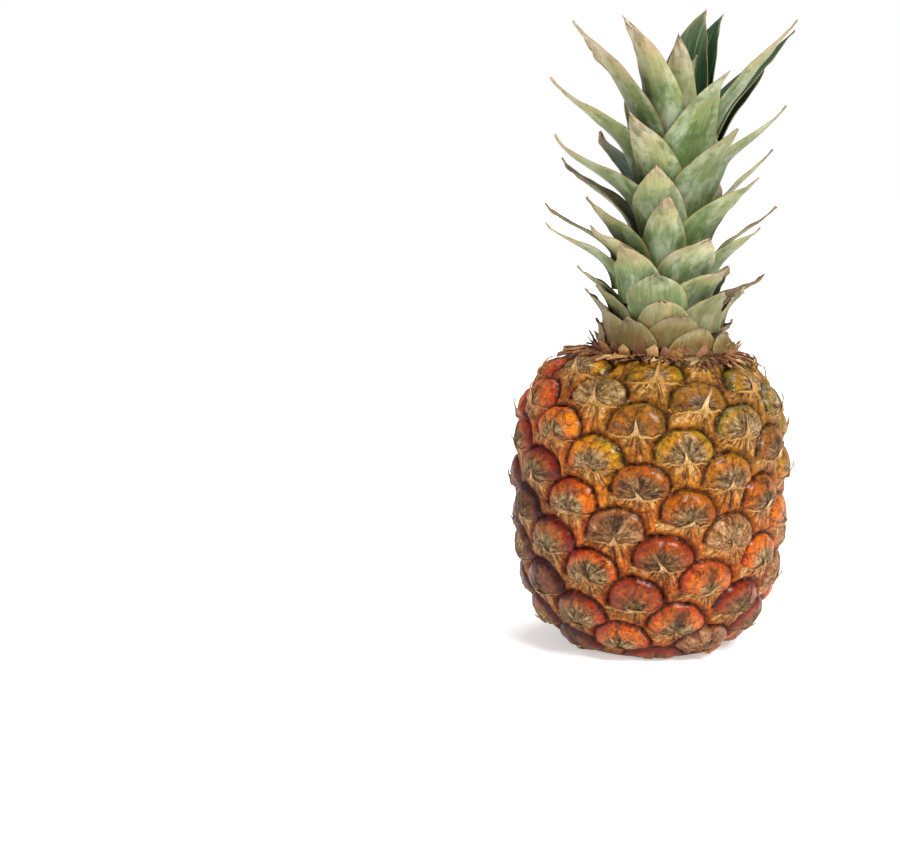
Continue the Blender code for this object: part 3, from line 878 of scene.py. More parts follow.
def makeTipMaterial():
    material, nodes, shader = startMaterial("dry bract tips", 0.7, 0.3)
    rise = nodes.value("rise")
    tone = nodes.value("eyeTone")
    fibrePlace = nodes.vector("fibrePlace")
    ripe = nodes.value("ripeness")
    fibres = nodes.group(fibreGroup, Place=fibrePlace, Fineness=1.6, Strength=1.0)
    straw = nodes.ramp(nodes.both(fibres.outputs["Fibre"], 0.7, tone, 0.3), {
        0.1: (112, 76, 38), 0.5: (168, 124, 68), 0.9: (228, 204, 156),
    })
    warm = nodes.ramp(ripe, {0.2: (158, 112, 30), 0.6: (162, 84, 24), 0.95: (116, 46, 30)})
    colour = nodes.mix(nodes.spread(rise, 0.0, 0.5, 0.7, 0.08), straw, warm)
    place = nodes.placeInMm()
    blotches = nodes.group(blotchGroup, Place=place, Size=0.5, Amount=0.6)
    colour = nodes.mix(nodes.times(blotches.outputs["Patch"], 0.5), colour, (110, 82, 62))
    dark = nodes.times(nodes.spread(rise, 0.75, 1.0), 0.55)
    colour = nodes.mix(dark, colour, (96, 70, 48))
    nodes.join(colour, shader.inputs["Base Color"])
    nodes.bump(shader, fibres.outputs["Height"], 0.6, 0.0004)
    return material


def bractTip(number, eyeTurn, eyeLength):
    # one bract's tip: points of its front and back, and how far each place has risen
    shape = tipShape
    height, radius, _, _ = outline.at(eyeLength)
    numbers = eyeNumbers(number)
    line = np.linspace(-1.0, 1.0, shape["columns"])
    line = np.sign(line) * np.abs(line) ** 1.9
    y, x = flatGrid(np.linspace(0.0, 1.0, shape["rows"]), line)
    nearTop = float(smoothStep(0.6, 0.97, height / rindShape["height"]))
    spine = shape["spineShortest"] + (shape["spineLongest"] - shape["spineShortest"]) * numbers[17]
    spine += shape["topExtra"] * nearTop * numbers[18]
    ragged = 0.75 + 0.35 * wave(x * 31, numbers[19]) * wave(x * 17, numbers[20])
    lipPart = shape["lipHeight"] * np.clip(1 - x * x, 0, 1) * ragged
    spinePart = spine * np.exp(-((np.abs(x) / shape["spineWidth"]) ** 1.15))
    reach = lipPart + spinePart + 0.6 * bell(np.abs(x), 0.2)
    across = x * shape["halfWidth"]
    lip = lipLine(across, numbers)
    risen = y * reach
    riseShare = np.clip(risen / max(spine, 1.0), 0, 1)
    sway = (numbers[21] - 0.5) * shape["sway"]
    moved = across * (1.0 - 0.35 * riseShare) + sway * riseShare**2 * (np.abs(x) < 0.5)
    up = lip - 1.1 + risen
    turn = eyeTurn + moved * mm / np.maximum(radius, 0.02)
    length = np.clip(eyeLength + up * mm, 0.0, fullLength * 0.995)
    # the tip leans on the rind at its foot and stands off it as it rises
    base = rindLift(turn, length) / mm
    lipTurn = eyeTurn + across * mm / max(float(radius), 0.02)
    lipLift = rindLift(lipTurn, eyeLength + (lip - 0.8) * mm) / mm
    off = 0.12 + 0.25 * y + 0.35 * np.clip(risen / 2.0, 0, 1)
    stand = np.maximum(base, lipLift * (1 - 0.4 * riseShare) + 0.1)
    curl = (shape["leastCurl"] + shape["moreCurl"] * numbers[22]) * riseShare**2 * (0.5 + 0.9 * nearTop)
    keel = shape["keel"] * bell(x, 0.05) * np.sin(math.pi * np.clip(y, 0, 1))
    lift = stand + off * (1.0 - 0.9 * np.abs(x) ** 1.5) + curl - keel - 0.35 * x**4
    lift = np.where(y < 0.02, np.minimum(lift, base - 0.25), lift)
    front = rindPlace(turn, length, lift * mm)
    back = rindPlace(turn, length, (lift - shape["thickness"]) * mm)
    fibrePlace = np.stack([across + number * 37, up, 0 * up], axis=-1)
    return np.concatenate([front, back]), twice(riseShare), twice(fibrePlace), numbers[13]


def buildBractTips():
    shape = tipShape
    parts = Parts()
    faces = shellFaces(shape["rows"], shape["columns"])
    for eye in eyes:
        height, radius, _, _ = outline.at(eye[2])
        underCrown = height > rindShape["waist"] and radius < shape["seatRadius"]
        if eye[2] < shape["lowest"] or underCrown:
            continue
        points, rise, fibrePlace, tone = bractTip(*eye)
        parts.take(points, faces, rise=rise, fibrePlace=fibrePlace, eyeTone=np.full(len(points), tone))
    points, faces, attributes = parts.joined()
    attributes["ripeness"] = ripenessAt(points)
    makePiece("bract_tips", points, faces, makeTipMaterial(), attributes, [])


buildBractTips()
print("bract tips built")


# the crown: leaves packed round a short stem, lowest first

crownShape = {
    "foot": Vector((6.2 * mm, 0.0, 132.0 * mm)),
    "height": 150.0 * mm,
    "lean": 7.5 * mm,
    "leanPower": 1.3,
    "stemRadius": 19.5 * mm,
    "stemHeight": 78.0 * mm,
    "stemPoint": 84.0 * mm,
    "stemPower": 1.7,
}
bladeShape = {
    "baseThickness": 1.2 * mm,
    "tipThickness": 0.8 * mm,
    "edgeThickness": 0.40 * mm,
    "edgePower": 1.5,
    "troughRadius": 15.0 * mm,
    "troughStart": 0.67,
    "mostBend": 1.2,
    "rootNarrowing": 0.1,
    "widestShare": 0.25,
    "tipHalfWidth": 0.5 * mm,
    "nearArm": 0.42,
    "farArm": 0.30,
    "rootShare": 0.62,
    "rootDrop": 8.0 * mm,
    "gap": 0.34 * mm,
    "across": 4,
    "finer": 4,
    "liftSlope": 0.45,
    "fineRows": 44,
    "fineColumns": 17,
    "fineTip": 0.12 * mm,
    "shortest": 12.0 * mm,
    "ribHeight": 0.09 * mm,
    "edgeWave": 0.40 * mm,
    "fineWave": 0.20 * mm,
}
# how a dry tip curls, crinkles and swerves, in millimetres
dryTip = {
    "curl": 2.6,
    "crinkle": 0.35,
    "swerve": 1.6,
}
rootDirection = Vector((0.12, 1.0)).normalized()
tipDirection = Vector((0.61, 0.87)).normalized()

# turn from the front and swing of the tip in degrees; height and reach of the tip and breadth
# in millimetres; fullness; dryness of the whole blade; how long the dry tip is; how dark it is
leafTable = (
    (58, 0, 9, 29, 24, 2.4, 0.45, 0.30, 0.0),
    (25, 4, 11, 30, 25, 2.6, 0.45, 0.25, 0.0),
    (141, 0, 12, 29, 26, 2.4, 0.5, 0.3, 0.0),
    (-88, 0, 13, 30, 25, 2.2, 0.7, 0.4, 0.1),
    (85, 0, 13, 28, 24, 2.0, 0.9, 0.5, 0.3),
    (-141, 0, 14, 29, 26, 2.4, 0.5, 0.3, 0.0),
    (-28, -6, 15, 29, 24, 2.4, 0.4, 0.25, 0.0),
    (4, 10, 17, 28, 25, 2.8, 0.35, 0.22, 0.0),
    (-62, 0, 18, 30, 24, 2.2, 0.35, 0.2, 0.0),
    (182, 0, 20, 30, 27, 2.6, 0.3, 0.2, 0.0),
    (-3, 0, 23, 28, 24, 3.2, 0.25, 0.16, 0.0),
    (-85, 0, 26, 36, 25, 1.8, 0.2, 0.15, 0.0),
    (36, 14, 26, 32, 26, 2.2, 0.2, 0.15, 0.0),
    (90, 0, 27, 32, 23, 1.7, 0.5, 0.4, 0.3),
    (-62, -8, 28, 33, 24, 2.0, 0.15, 0.1, 0.0),
    (108, 0, 32, 44, 22, 1.5, 0.95, 0.5, 0.6),
    (-10, 0, 34, 29, 26, 3.2, 0.1, 0.12, 0.0),
    (-85, 0, 36, 40, 25, 1.6, 0.1, 0.15, 0.1),
    (131, 0, 35, 35, 27, 2.2, 0.2, 0.2, 0.2),
    (28, 16, 36, 34, 27, 2.4, 0.12, 0.2, 0.0),
    (-136, 0, 38, 37, 28, 2.2, 0.1, 0.1, 0.1),
    (-30, -12, 46, 31, 25, 2.4, 0.12, 0.2, 0.1),
    (176, 0, 48, 37, 29, 2.4, 0.1, 0.1, 0.0),
    (14, 18, 49, 31, 26, 3.0, 0.12, 0.2, 0.0),
    (-74, -5, 55, 55, 25, 1.5, 0.1, 0.25, 0.1),
    (60, 5, 53, 40, 25, 1.8, 0.08, 0.15, 0.0),
    (-50, -10, 54, 41, 26, 1.8, 0.1, 0.2, 0.1),
    (-98, 0, 63, 56, 19, 1.3, 0.3, 0.35, 0.2),
    (86, 0, 62, 44, 19, 1.3, 0.35, 0.45, 0.6),
    (-158, 0, 66, 43, 28, 1.9, 0.05, 0.1, 0.0),
    (-58, -5, 66, 42, 26, 1.8, 0.1, 0.25, 0.1),
    (-12, 8, 67, 29, 23, 1.9, 0.1, 0.22, 0.1),
    (150, 0, 72, 42, 28, 2.0, 0.05, 0.1, 0.0),
    (36, 18, 74, 43, 25, 1.8, 0.12, 0.12, 0.3),
    (-105, 0, 83, 53, 21, 2.4, 0.45, 0.5, 0.9),
    (-16, -4, 79, 25, 25, 2.3, 0.08, 0.16, 0.0),
    (80, 0, 86, 41, 20, 1.4, 0.12, 0.16, 0.8),
    (-63, 0, 92, 59, 27, 1.6, 0.08, 0.2, 0.1),
    (-130, 0, 95, 47, 28, 1.7, 0.05, 0.1, 0.0),
    (26, 16, 94, 36, 26, 1.9, 0.08, 0.12, 0.3),
    (70, 0, 104, 47, 24, 1.5, 0.05, 0.12, 0.0),
    (-22, -16, 101, 32, 24, 1.9, 0.1, 0.28, 0.0),
    (170, 0, 108, 45, 29, 1.7, 0.05, 0.1, 0.0),
    (-60, -6, 116, 60, 27, 1.6, 0.08, 0.2, 0.1),
    (19, 14, 118, 33, 25, 1.9, 0.05, 0.1, 0.0),
    (130, 0, 128, 32, 25, 1.7, 0.0, 0.05, 0.0),
    (-120, 0, 133, 38, 27, 1.7, 0.05, 0.3, 0.6),
    (124, 0, 139, 57, 29, 1.5, 0.0, 0.04, 0.0),
    (60, 0, 138, 50, 17, 1.7, 0.05, 0.25, 0.0),
    (-55, -8, 139, 52, 25, 1.5, 0.1, 0.36, 0.0),
    (-28, -22, 141, 36, 26, 1.8, 0.05, 0.3, 0.0),
    (-8, 0, 134, 17, 23, 1.9, 0.05, 0.25, 0.0),
    (155, -15, 145, 24, 27, 1.9, 0.0, 0.03, 0.0),
    (176, -18, 147, 21, 29, 2.0, 0.0, 0.08, 0.0),
    (70, 0, 126, 6, 18, 1.8, 0.0, 0.1, 0.0),
    (-62, 0, 119, 5, 17, 1.8, 0.0, 0.1, 0.0),
    (205, 0, 113, 4, 15, 1.8, 0.0, 0.1, 0.0),
)
# dents in a leaf's end: how deep, where across it, and how wide
tornTips = {
    11: ((0.12, 0.12, 0.3), (0.10, -0.7, 0.3)),
    17: ((0.16, 0.3, 0.25), (0.12, -0.35, 0.2)),
    24: ((0.14, -0.3, 0.25), (0.10, 0.5, 0.2)),
    51: ((0.14, 0.35, 0.2), (0.08, -0.2, 0.2)),
    45: ((0.10, -0.1, 0.3), (0.08, 0.5, 0.2)),
    35: ((0.16, 0.0, 0.35),),
}
wellOutside = 120.0 * mm


def stemRadius(height):
    shape = crownShape
    share = np.clip(height, 0.0, shape["stemHeight"]) / shape["stemPoint"]
    return shape["stemRadius"] * (1.0 - share ** shape["stemPower"])


def reachAt(inner, out, height):
    # how far out the inner leaves reach at a height, or below nought where they don't
    hit = inner.ray_cast(out * wellOutside + Vector((0.0, 0.0, height)), -out)[0]
    return -wellOutside if hit is None else math.hypot(hit.x, hit.y)


def between(first, second, share):
    return first + (second - first) * share


def leaned(points):
    shape = crownShape
    share = np.maximum(points[:, 2], 0.0) / shape["height"]
    moved = points + np.array(shape["foot"])
    moved[:, 0] += shape["lean"] * share ** shape["leanPower"]
    return moved


def curveWeights(count, fine):
    # how much each coarse point counts at each fine place, through a smooth curve
    weights = np.zeros((len(fine), count))
    for index, place in enumerate(fine):
        spot = min(max(place * (count - 1), 0.0), count - 1.0)
        first = min(int(spot), count - 2)
        t = spot - first
        parts = (
            -0.5 * t + t * t - 0.5 * t**3,
            1.0 - 2.5 * t * t + 1.5 * t**3,
            0.5 * t + 2.0 * t * t - 1.5 * t**3,
            -0.5 * t * t + 0.5 * t**3,
        )
        for offset, part in zip((-1, 0, 1, 2), parts):
            weights[index, min(max(first + offset, 0), count - 1)] += part
    return weights


class Leaf:
    # one leaf of the straight crown, before the crown leans

    def __init__(self, turn, swing, height, reach, breadth, fullness):
        shape = bladeShape
        self.turn = math.radians(turn)
        self.swing = math.radians(swing)
        self.height = height * mm
        self.reach = reach * mm
        self.breadth = breadth * mm
        self.fullness = fullness
        self.rootHeight = max(shape["rootShare"] * self.height - shape["rootDrop"], 0.0)
        self.rootRadius = float(stemRadius(self.rootHeight))
        self.along = 5 if height < 40 else 7
        self.lifts = np.zeros((self.along + 1, shape["across"] + 1))
        self.tipHalfWidth = shape["tipHalfWidth"]

    def spine(self, share):
        shape = bladeShape
        root = np.array((self.rootRadius, self.rootHeight))
        tip = np.array((self.reach, self.height))
        size = np.linalg.norm(tip - root)
        near = root + np.array(rootDirection) * size * shape["nearArm"]
        far = tip - np.array(tipDirection) * size * shape["farArm"]
        share = np.asarray(share, float)[..., None]
        rest = 1.0 - share
        place = root * rest**3 + near * (3 * rest**2 * share)
        place = place + far * (3 * rest * share**2) + tip * share**3
        heading = (near - root) * rest**2 + (far - near) * (2 * rest * share) + (tip - far) * share**2
        heading = heading / np.linalg.norm(heading, axis=-1, keepdims=True)
        return place, np.stack([heading[..., 1], -heading[..., 0]], axis=-1)

    def halfWidth(self, share):
        shape = bladeShape
        narrow = shape["rootNarrowing"] * (1.0 - np.minimum(share / shape["widestShare"], 1.0))
        width = 0.5 * self.breadth * (1.0 - share**self.fullness) * (1.0 - narrow)
        return np.maximum(width, self.tipHalfWidth)

    def thickness(self, share, side):
        shape = bladeShape
        middle = shape["baseThickness"] + (shape["tipThickness"] - shape["baseThickness"]) * share
        return middle + (shape["edgeThickness"] - middle) * np.abs(side) ** shape["edgePower"]

    def surface(self, share, side, lift, depth, sideways=0.0):
        shape = bladeShape
        place, outward = self.spine(share)
        half = self.halfWidth(share)
        opened = np.minimum(share / shape["troughStart"], 1.0)
        hollow = between(place[..., 0], shape["troughRadius"], opened)
        hollow = np.maximum(hollow, half / shape["mostBend"])
        bend = side * half / hollow
        drop = hollow * (1.0 - np.cos(bend)) - depth * np.cos(bend)
        radius = place[..., 0] - drop * outward[..., 0]
        height = place[..., 1] - drop * outward[..., 1]
        over = (hollow + depth) * np.sin(bend) + sideways
        turn = self.turn + self.swing * share * share
        x = np.sin(turn) * radius + np.cos(turn) * over
        y = -np.cos(turn) * radius + np.sin(turn) * over
        far = np.maximum(np.hypot(x, y), 1e-9)
        return np.stack([x * (1 + lift / far), y * (1 + lift / far), height], axis=-1)

    def corners(self, depth, spare=0.0):
        count = bladeShape["across"] + 1
        share = np.repeat(np.arange(self.along + 1) / self.along, count)
        side = np.tile(2.0 * np.arange(count) / (count - 1) - 1.0, self.along + 1)
        offset = depth * (self.thickness(share, side) + spare)
        return self.surface(share, side, self.lifts.ravel(), offset)

    def seat(self, inner):
        shape = bladeShape
        for step in range(3):
            height = self.rootHeight + step * 3.0 * mm
            for aside in (-0.35, 0.0, 0.35):
                turn = self.turn + aside
                out = Vector((math.sin(turn), -math.cos(turn), 0.0))
                self.rootRadius = max(self.rootRadius, reachAt(inner, out, height))
        self.rootRadius += shape["gap"] + 0.5 * shape["baseThickness"]

    def drape(self, inner):
        # lift the blade clear of the leaves that lie inside it
        shape = bladeShape
        finer = shape["finer"]
        acrossCount = shape["across"]
        rowPlaces = np.linspace(0.0, 1.0, self.along * finer + 1)
        columnPlaces = np.linspace(0.0, 1.0, acrossCount * finer + 1)
        outwardX = self.spine(rowPlaces)[1][:, 0]
        for _ in range(4):
            grid = self.corners(0.0).reshape(self.along + 1, acrossCount + 1, 3)
            wanted = np.zeros_like(self.lifts)
            for fineRow, share in enumerate(rowPlaces):
                row, up = divmod(fineRow, finer)
                nextRow = min(row + 1, self.along)
                for fineColumn, over in enumerate(columnPlaces):
                    column, aside = divmod(fineColumn, finer)
                    nextColumn = min(column + 1, acrossCount)
                    low = between(grid[row, column], grid[row, nextColumn], aside / finer)
                    high = between(grid[nextRow, column], grid[nextRow, nextColumn], aside / finer)
                    place = between(low, high, up / finer)
                    far = math.hypot(place[0], place[1])
                    out = Vector((place[0] / far, place[1] / far, 0.0))
                    clear = 0.5 * float(self.thickness(share, 2.0 * over - 1.0)) + shape["gap"]
                    clear /= max(outwardX[fineRow], 0.55)
                    need = reachAt(inner, out, place[2]) + clear - far
                    if need <= 0.0:
                        continue
                    for nearRow in {row, min(row + (up > 0), self.along)}:
                        for nearColumn in {column, min(column + (aside > 0), acrossCount)}:
                            wanted[nearRow, nearColumn] = max(wanted[nearRow, nearColumn], need)
            if not wanted.any():
                break
            self.lifts += wanted
            self.evenOut()

    def evenOut(self):
        shape = bladeShape
        acrossCount = shape["across"]
        stepUp = (self.height - self.rootHeight) / self.along
        for _ in range(3):
            for row in range(self.along + 1):
                stepOver = 2.0 * float(self.halfWidth(row / self.along)) / acrossCount
                for column in range(acrossCount + 1):
                    least = self.lifts[row, column]
                    for near in (column - 1, column + 1):
                        if 0 <= near <= acrossCount:
                            least = max(least, self.lifts[row, near] - shape["liftSlope"] * stepOver)
                    for near in (row - 1, row + 1):
                        if 0 <= near <= self.along:
                            least = max(least, self.lifts[near, column] - shape["liftSlope"] * stepUp)
                    self.lifts[row, column] = least

    def coarse(self, spare=0.0):
        count = bladeShape["across"] + 1
        points = np.concatenate([self.corners(0.5, spare), self.corners(-0.5, spare)])
        faces = []
        for ring in shellFaces(self.along + 1, count):
            faces.append((ring[0], ring[1], ring[2]))
            faces.append((ring[0], ring[2], ring[3]))
        return [Vector(point) for point in points], faces

    def partFrom(self, inner):
        # lift a little more wherever the blade still comes too near the others
        count = bladeShape["across"] + 1
        for _ in range(60):
            points, faces = self.coarse(bladeShape["gap"])
            touching = BVHTree.FromPolygons(points, faces).overlap(inner)
            if not touching:
                return
            near = {point for face, _ in touching for point in faces[face]}
            for place in {point % (count * (self.along + 1)) for point in near}:
                self.lifts[place // count, place % count] += 0.2 * mm
            self.evenOut()


def stemPoints(rings, sides):
    points = []
    for ring in range(rings):
        height = crownShape["stemHeight"] * ring / (rings - 1)
        radius = float(stemRadius(height))
        for side in range(sides):
            turn = tau * side / sides
            points.append((radius * math.sin(turn), -radius * math.cos(turn), height))
    return np.array(points)


def settleCrown():
    # every leaf laid over the ones inside it, from the heart outwards
    innerPoints = [Vector(point) for point in stemPoints(10, 36)]
    innerFaces = tubeFaces(10, 36)
    leaves = {}
    for number in range(len(leafTable), 0, -1):
        leaf = Leaf(*leafTable[number - 1][:6])
        inner = BVHTree.FromPolygons(innerPoints, innerFaces)
        leaf.seat(inner)
        leaf.drape(inner)
        leaf.partFrom(inner)
        leaves[number] = leaf
        points, faces = leaf.coarse()
        start = len(innerPoints)
        innerPoints += points
        innerFaces += [tuple(start + point for point in face) for face in faces]
    return leaves


def makeLeafMaterial():
    material, nodes, shader = startMaterial("crown leaf", 0.5, 0.28)
    along = nodes.value("along")
    aside = nodes.value("aside")
    outer = nodes.value("outerFace")
    tone = nodes.value("leafTone")
    dryness = nodes.value("dryness")
    tipStart = nodes.value("tipStart")
    tipDark = nodes.value("tipDark")
    young = nodes.value("youngGreen")
    lowDown = nodes.value("lowDown")
    place = nodes.vector("leafPlace")
    streaks = nodes.streaks(place, (1.3, 0.035, 1.0), 4.0, 0.6, 0.15)
    bands = nodes.streaks(place, (0.55, 0.02, 1.0), 2.0, 0.5)
    cloudy = nodes.streaks(place, (0.16, 0.07, 1.0), 4.0, 0.6, 0.4)
    mottle = nodes.streaks(place, (0.34, 0.16, 1.0), 4.0, 0.65, 0.3)
    # outer face: a pale waxy bloom over grey-green
    waxy = nodes.ramp(nodes.both(cloudy, 0.6, streaks, 0.4), {
        0.28: (72, 92, 48), 0.44: (112, 126, 80), 0.60: (144, 150, 108), 0.76: (178, 178, 142),
    })
    freshGreen = nodes.ramp(streaks, {0.3: (74, 100, 34), 0.7: (122, 140, 64)})
    freshShare = nodes.times(nodes.spread(cloudy, 0.40, 0.64), young)
    outerColour = nodes.mix(freshShare, waxy, freshGreen)
    # painted shade: the outer face turns darker green towards the root, where the leaves overlap
    rootShade = nodes.spread(along, 0.72, 0.22, 0.0, 0.8)
    outerColour = nodes.mix(rootShade, outerColour, nodes.mix(streaks, (54, 80, 36), (96, 118, 66)))
    oldShare = nodes.times(lowDown, nodes.spread(cloudy, 0.25, 0.6, 0.6, 1.0))
    oldColour = nodes.ramp(streaks, {0.3: (92, 62, 16), 0.5: (120, 98, 34), 0.7: (148, 130, 62)})
    outerColour = nodes.mix(oldShare, outerColour, oldColour)
    rootBrown = nodes.times(lowDown, nodes.spread(along, 0.75, 0.3))
    rootBrown = nodes.times(rootBrown, nodes.spread(cloudy, 0.35, 0.65, 0.2, 0.8))
    outerColour = nodes.mix(rootBrown, outerColour, (132, 84, 28))
    # inner face: deep green with pale stripes
    stripes = nodes.spread(bands, 0.52, 0.66, 0.0, 0.75)
    innerColour = nodes.mix(stripes, (20, 52, 26), (92, 124, 82))
    innerColour = nodes.mix(nodes.spread(streaks, 0.4, 0.7, 0.0, 0.4), innerColour, (38, 74, 34))
    colour = nodes.mix(outer, innerColour, outerColour)
    # yellowish margins
    edge = nodes.spread(nodes.unsigned(aside), 0.78, 1.0, 0.0, 0.3)
    edge = nodes.times(edge, nodes.scaled(outer, 0.85, 0.1))
    colour = nodes.mix(edge, colour, (168, 164, 104))
    # dry tips and dry whole blades
    dryColour = nodes.ramp(nodes.both(mottle, 0.6, streaks, 0.4), {
        0.25: (104, 80, 60), 0.42: (156, 128, 100), 0.60: (186, 160, 130), 0.80: (208, 188, 158),
    })
    darkDry = nodes.ramp(mottle, {0.3: (44, 38, 30), 0.7: (108, 92, 72)})
    dryColour = nodes.mix(tipDark, dryColour, darkDry)
    reach = nodes.uneven(along, cloudy, 0.5)
    reach = nodes.plus(reach, nodes.times(nodes.power(nodes.unsigned(aside), 3.0), 0.1))
    fromTip = nodes.minus(reach, nodes.minus(1.0, tipStart))
    tip = nodes.spread(fromTip, -0.10, 0.22, 0.0, 0.92)
    blush = nodes.spread(fromTip, -0.36, 0.02, 0.0, 0.5)
    blush = nodes.times(blush, nodes.spread(tipStart, 0.02, 0.2))
    tip = nodes.times(tip, nodes.spread(tipStart, 0.0, 0.14, 0.35, 1.0))
    colour = nodes.mix(blush, colour, (178, 166, 120))
    colour = nodes.mix(tip, colour, dryColour)
    patchy = nodes.plus(mottle, nodes.scaled(dryness, 0.95, -0.66))
    colour = nodes.mix(nodes.spread(patchy, 0.30, 0.62), colour, dryColour)
    blotches = nodes.group(blotchGroup, Place=place, Size=0.55, Amount=0.38)
    colour = nodes.mix(nodes.times(blotches.outputs["Speck"], 0.4), colour, (74, 62, 44))
    smudgePlace = nodes.stretch(place, (0.20, 0.09, 1.0))
    smudge = nodes.spread(nodes.noise(smudgePlace, 0.9, 5.0, 0.7, 0.8), 0.50, 0.68, 0.0, 0.5)
    colour = nodes.mix(nodes.times(smudge, outer), colour, (138, 118, 84))
    bloom = nodes.spread(nodes.noise(smudgePlace, 0.7, 5.0, 0.6, 0.3), 0.46, 0.66, 0.0, 0.35)
    bloom = nodes.times(bloom, nodes.minus(outer, lowDown, clamp=True))
    colour = nodes.mix(bloom, colour, (196, 202, 178))
    shadow = nodes.spread(nodes.noise(smudgePlace, 0.9, 4.0, 0.65), 0.36, 0.50, 0.55, 0.0)
    colour = nodes.mix(nodes.times(shadow, outer), colour, (66, 86, 42))
    shade = nodes.scaled(lowDown, 0.32, nodes.spread(tone, 0.0, 1.0, 0.0, 0.22))
    colour = nodes.mix(shade, colour, (92, 100, 70), blend="MULTIPLY")
    rim = nodes.spread(nodes.unsigned(aside), 0.955, 1.0, 0.0, 0.6)
    colour = nodes.mix(nodes.times(rim, nodes.spread(mottle, 0.3, 0.55)), colour, (128, 92, 60))
    nodes.join(colour, shader.inputs["Base Color"])
    rough = nodes.scaled(tip, 0.18, 0.50)
    rough = nodes.plus(rough, nodes.scaled(outer, -0.12, 0.12))
    rough = nodes.uneven(rough, mottle, 0.2)
    nodes.join(rough, shader.inputs["Roughness"])
    height = nodes.both(streaks, 1.0, mottle, 0.4)
    nodes.bump(shader, height, 0.5, 0.0004)
    return material


def buildLeaf(number, leaf, material):
    shape = bladeShape
    row = leafTable[number - 1]
    dryness, tipStart, tipDark = row[6:]
    numbers = np.random.default_rng(5000 + number).random(16)
    along = 1.0 - (1.0 - np.linspace(0.0, 1.0, shape["fineRows"])) ** 1.35
    across = np.linspace(-1.0, 1.0, shape["fineColumns"])
    rowWeights = curveWeights(leaf.along + 1, along)
    columnWeights = curveWeights(shape["across"] + 1, 0.5 * (across + 1.0))
    lift = (rowWeights @ leaf.lifts @ columnWeights.T).ravel()
    share, side = flatGrid(along, across)
    leaf.tipHalfWidth = shape["fineTip"]
    # small dents in the outline near the tip, as where a dry end has torn
    dents = ()
    if leaf.fullness >= 2.0:
        dents = ((0.05 * numbers[7], 1.2 * numbers[8] - 0.6, 0.3),)
    for depthShare, where, wide in tornTips.get(number, dents):
        share = share * (1.0 - depthShare * bell(side - where, wide) * share**4)
    half = leaf.halfWidth(share)
    # fine lengthwise ribs, a wavy edge, and a tip that curls as it dries
    rib = shape["ribHeight"] * wave(side * half / mm * 2.2, numbers[0])
    edgeWave = shape["edgeWave"] * np.abs(side) ** 3 * wave(share * 9 + side * 2, numbers[1])
    edgeWave += shape["fineWave"] * np.abs(side) ** 4 * wave(share * 23, numbers[2])
    tipPart = smoothStep(1.0 - tipStart - 0.05, 1.0, share)
    curl = tipPart * (numbers[3] - 0.35) * dryTip["curl"] * mm
    crinkle = tipPart * dryTip["crinkle"] * mm * wave(side * 5 + share * 31, numbers[4])
    sideways = tipPart**2 * (numbers[5] - 0.5) * dryTip["swerve"] * mm
    thinning = 0.9 * (1.0 - 0.72 * smoothStep(0.7, 1.0, share))
    points = []
    for face in (0.5, -0.5):
        depth = face * leaf.thickness(share, side) * thinning + rib * (0.5 + face)
        depth = depth + (edgeWave + crinkle) * smoothStep(0.15, 0.4, share)
        points.append(leaf.surface(share, side, lift + curl, depth, sideways))
    points = leaned(np.concatenate(points))
    faces = shellFaces(shape["fineRows"], shape["fineColumns"])
    # how each place reads to the shader
    size = max(leaf.height - leaf.rootHeight + leaf.reach - leaf.rootRadius, shape["shortest"])
    leafPlace = np.stack([side * half / mm, share * size / mm, 0 * side + number * 17.0], axis=-1)
    attributes = {
        "along": twice(share),
        "aside": twice(side),
        "leafPlace": twice(leafPlace),
        "outerFace": np.concatenate([np.ones(len(share)), np.zeros(len(share))]),
    }
    wholeLeaf = {
        "leafTone": numbers[6],
        "dryness": dryness,
        "tipStart": tipStart,
        "tipDark": tipDark,
        "youngGreen": 0.25 + 0.75 * smoothStep(60, 130, row[2]),
        "lowDown": smoothStep(38, 10, row[2]),
    }
    for name, value in wholeLeaf.items():
        attributes[name] = np.full(len(points), value)
    cadName = f"leaf_{number:02d}"
    makePiece(f"crown_{cadName}", points, faces, material, attributes, [cadName], sharp=60.0)


leaves = settleCrown()
leafMaterial = makeLeafMaterial()
for number, leaf in leaves.items():
    buildLeaf(number, leaf, leafMaterial)
print("crown leaves built")


# the crown's stem: short and fleshy, ringed with old leaf scars


def makeStemMaterial():
    material, nodes, shader = startMaterial("crown stem flesh", 0.7, 0.3)
    place = nodes.placeInMm()
    lines = nodes.streaks(place, (0.9, 0.9, 0.08), 4.0, 0.6)
    rings = nodes.streaks(place, (0.06, 0.06, 0.9), 3.0, 0.6)
    both = nodes.both(lines, 0.5, rings, 0.5)
    colour = nodes.ramp(both, {0.3: (96, 74, 48), 0.5: (150, 140, 92), 0.7: (186, 184, 134)})
    nodes.join(colour, shader.inputs["Base Color"])
    nodes.bump(shader, both, 0.6, 0.0006)
    return material


def buildStem():
    rings = 71
    sides = 96
    points = stemPoints(rings, sides)
    turn = np.arctan2(points[:, 0], -points[:, 1])
    height = points[:, 2] / mm
    scar = 0.5 * np.abs(np.sin(height * 0.55 + turn * 3)) + 0.25 * np.sin(turn * 31 + height * 0.3)
    size = np.hypot(points[:, 0], points[:, 1])
    shrink = 1.0 - scar * 0.5 * mm / np.maximum(size, 2 * mm)
    points[:, 0] *= shrink
    points[:, 1] *= shrink
    faces = tubeFaces(rings, sides)
    makePiece("crown_core", leaned(points), faces, makeStemMaterial(), {}, ["crown_stem"])


buildStem()
print("crown stem built")


# the cut end of the stalk, let into the foot


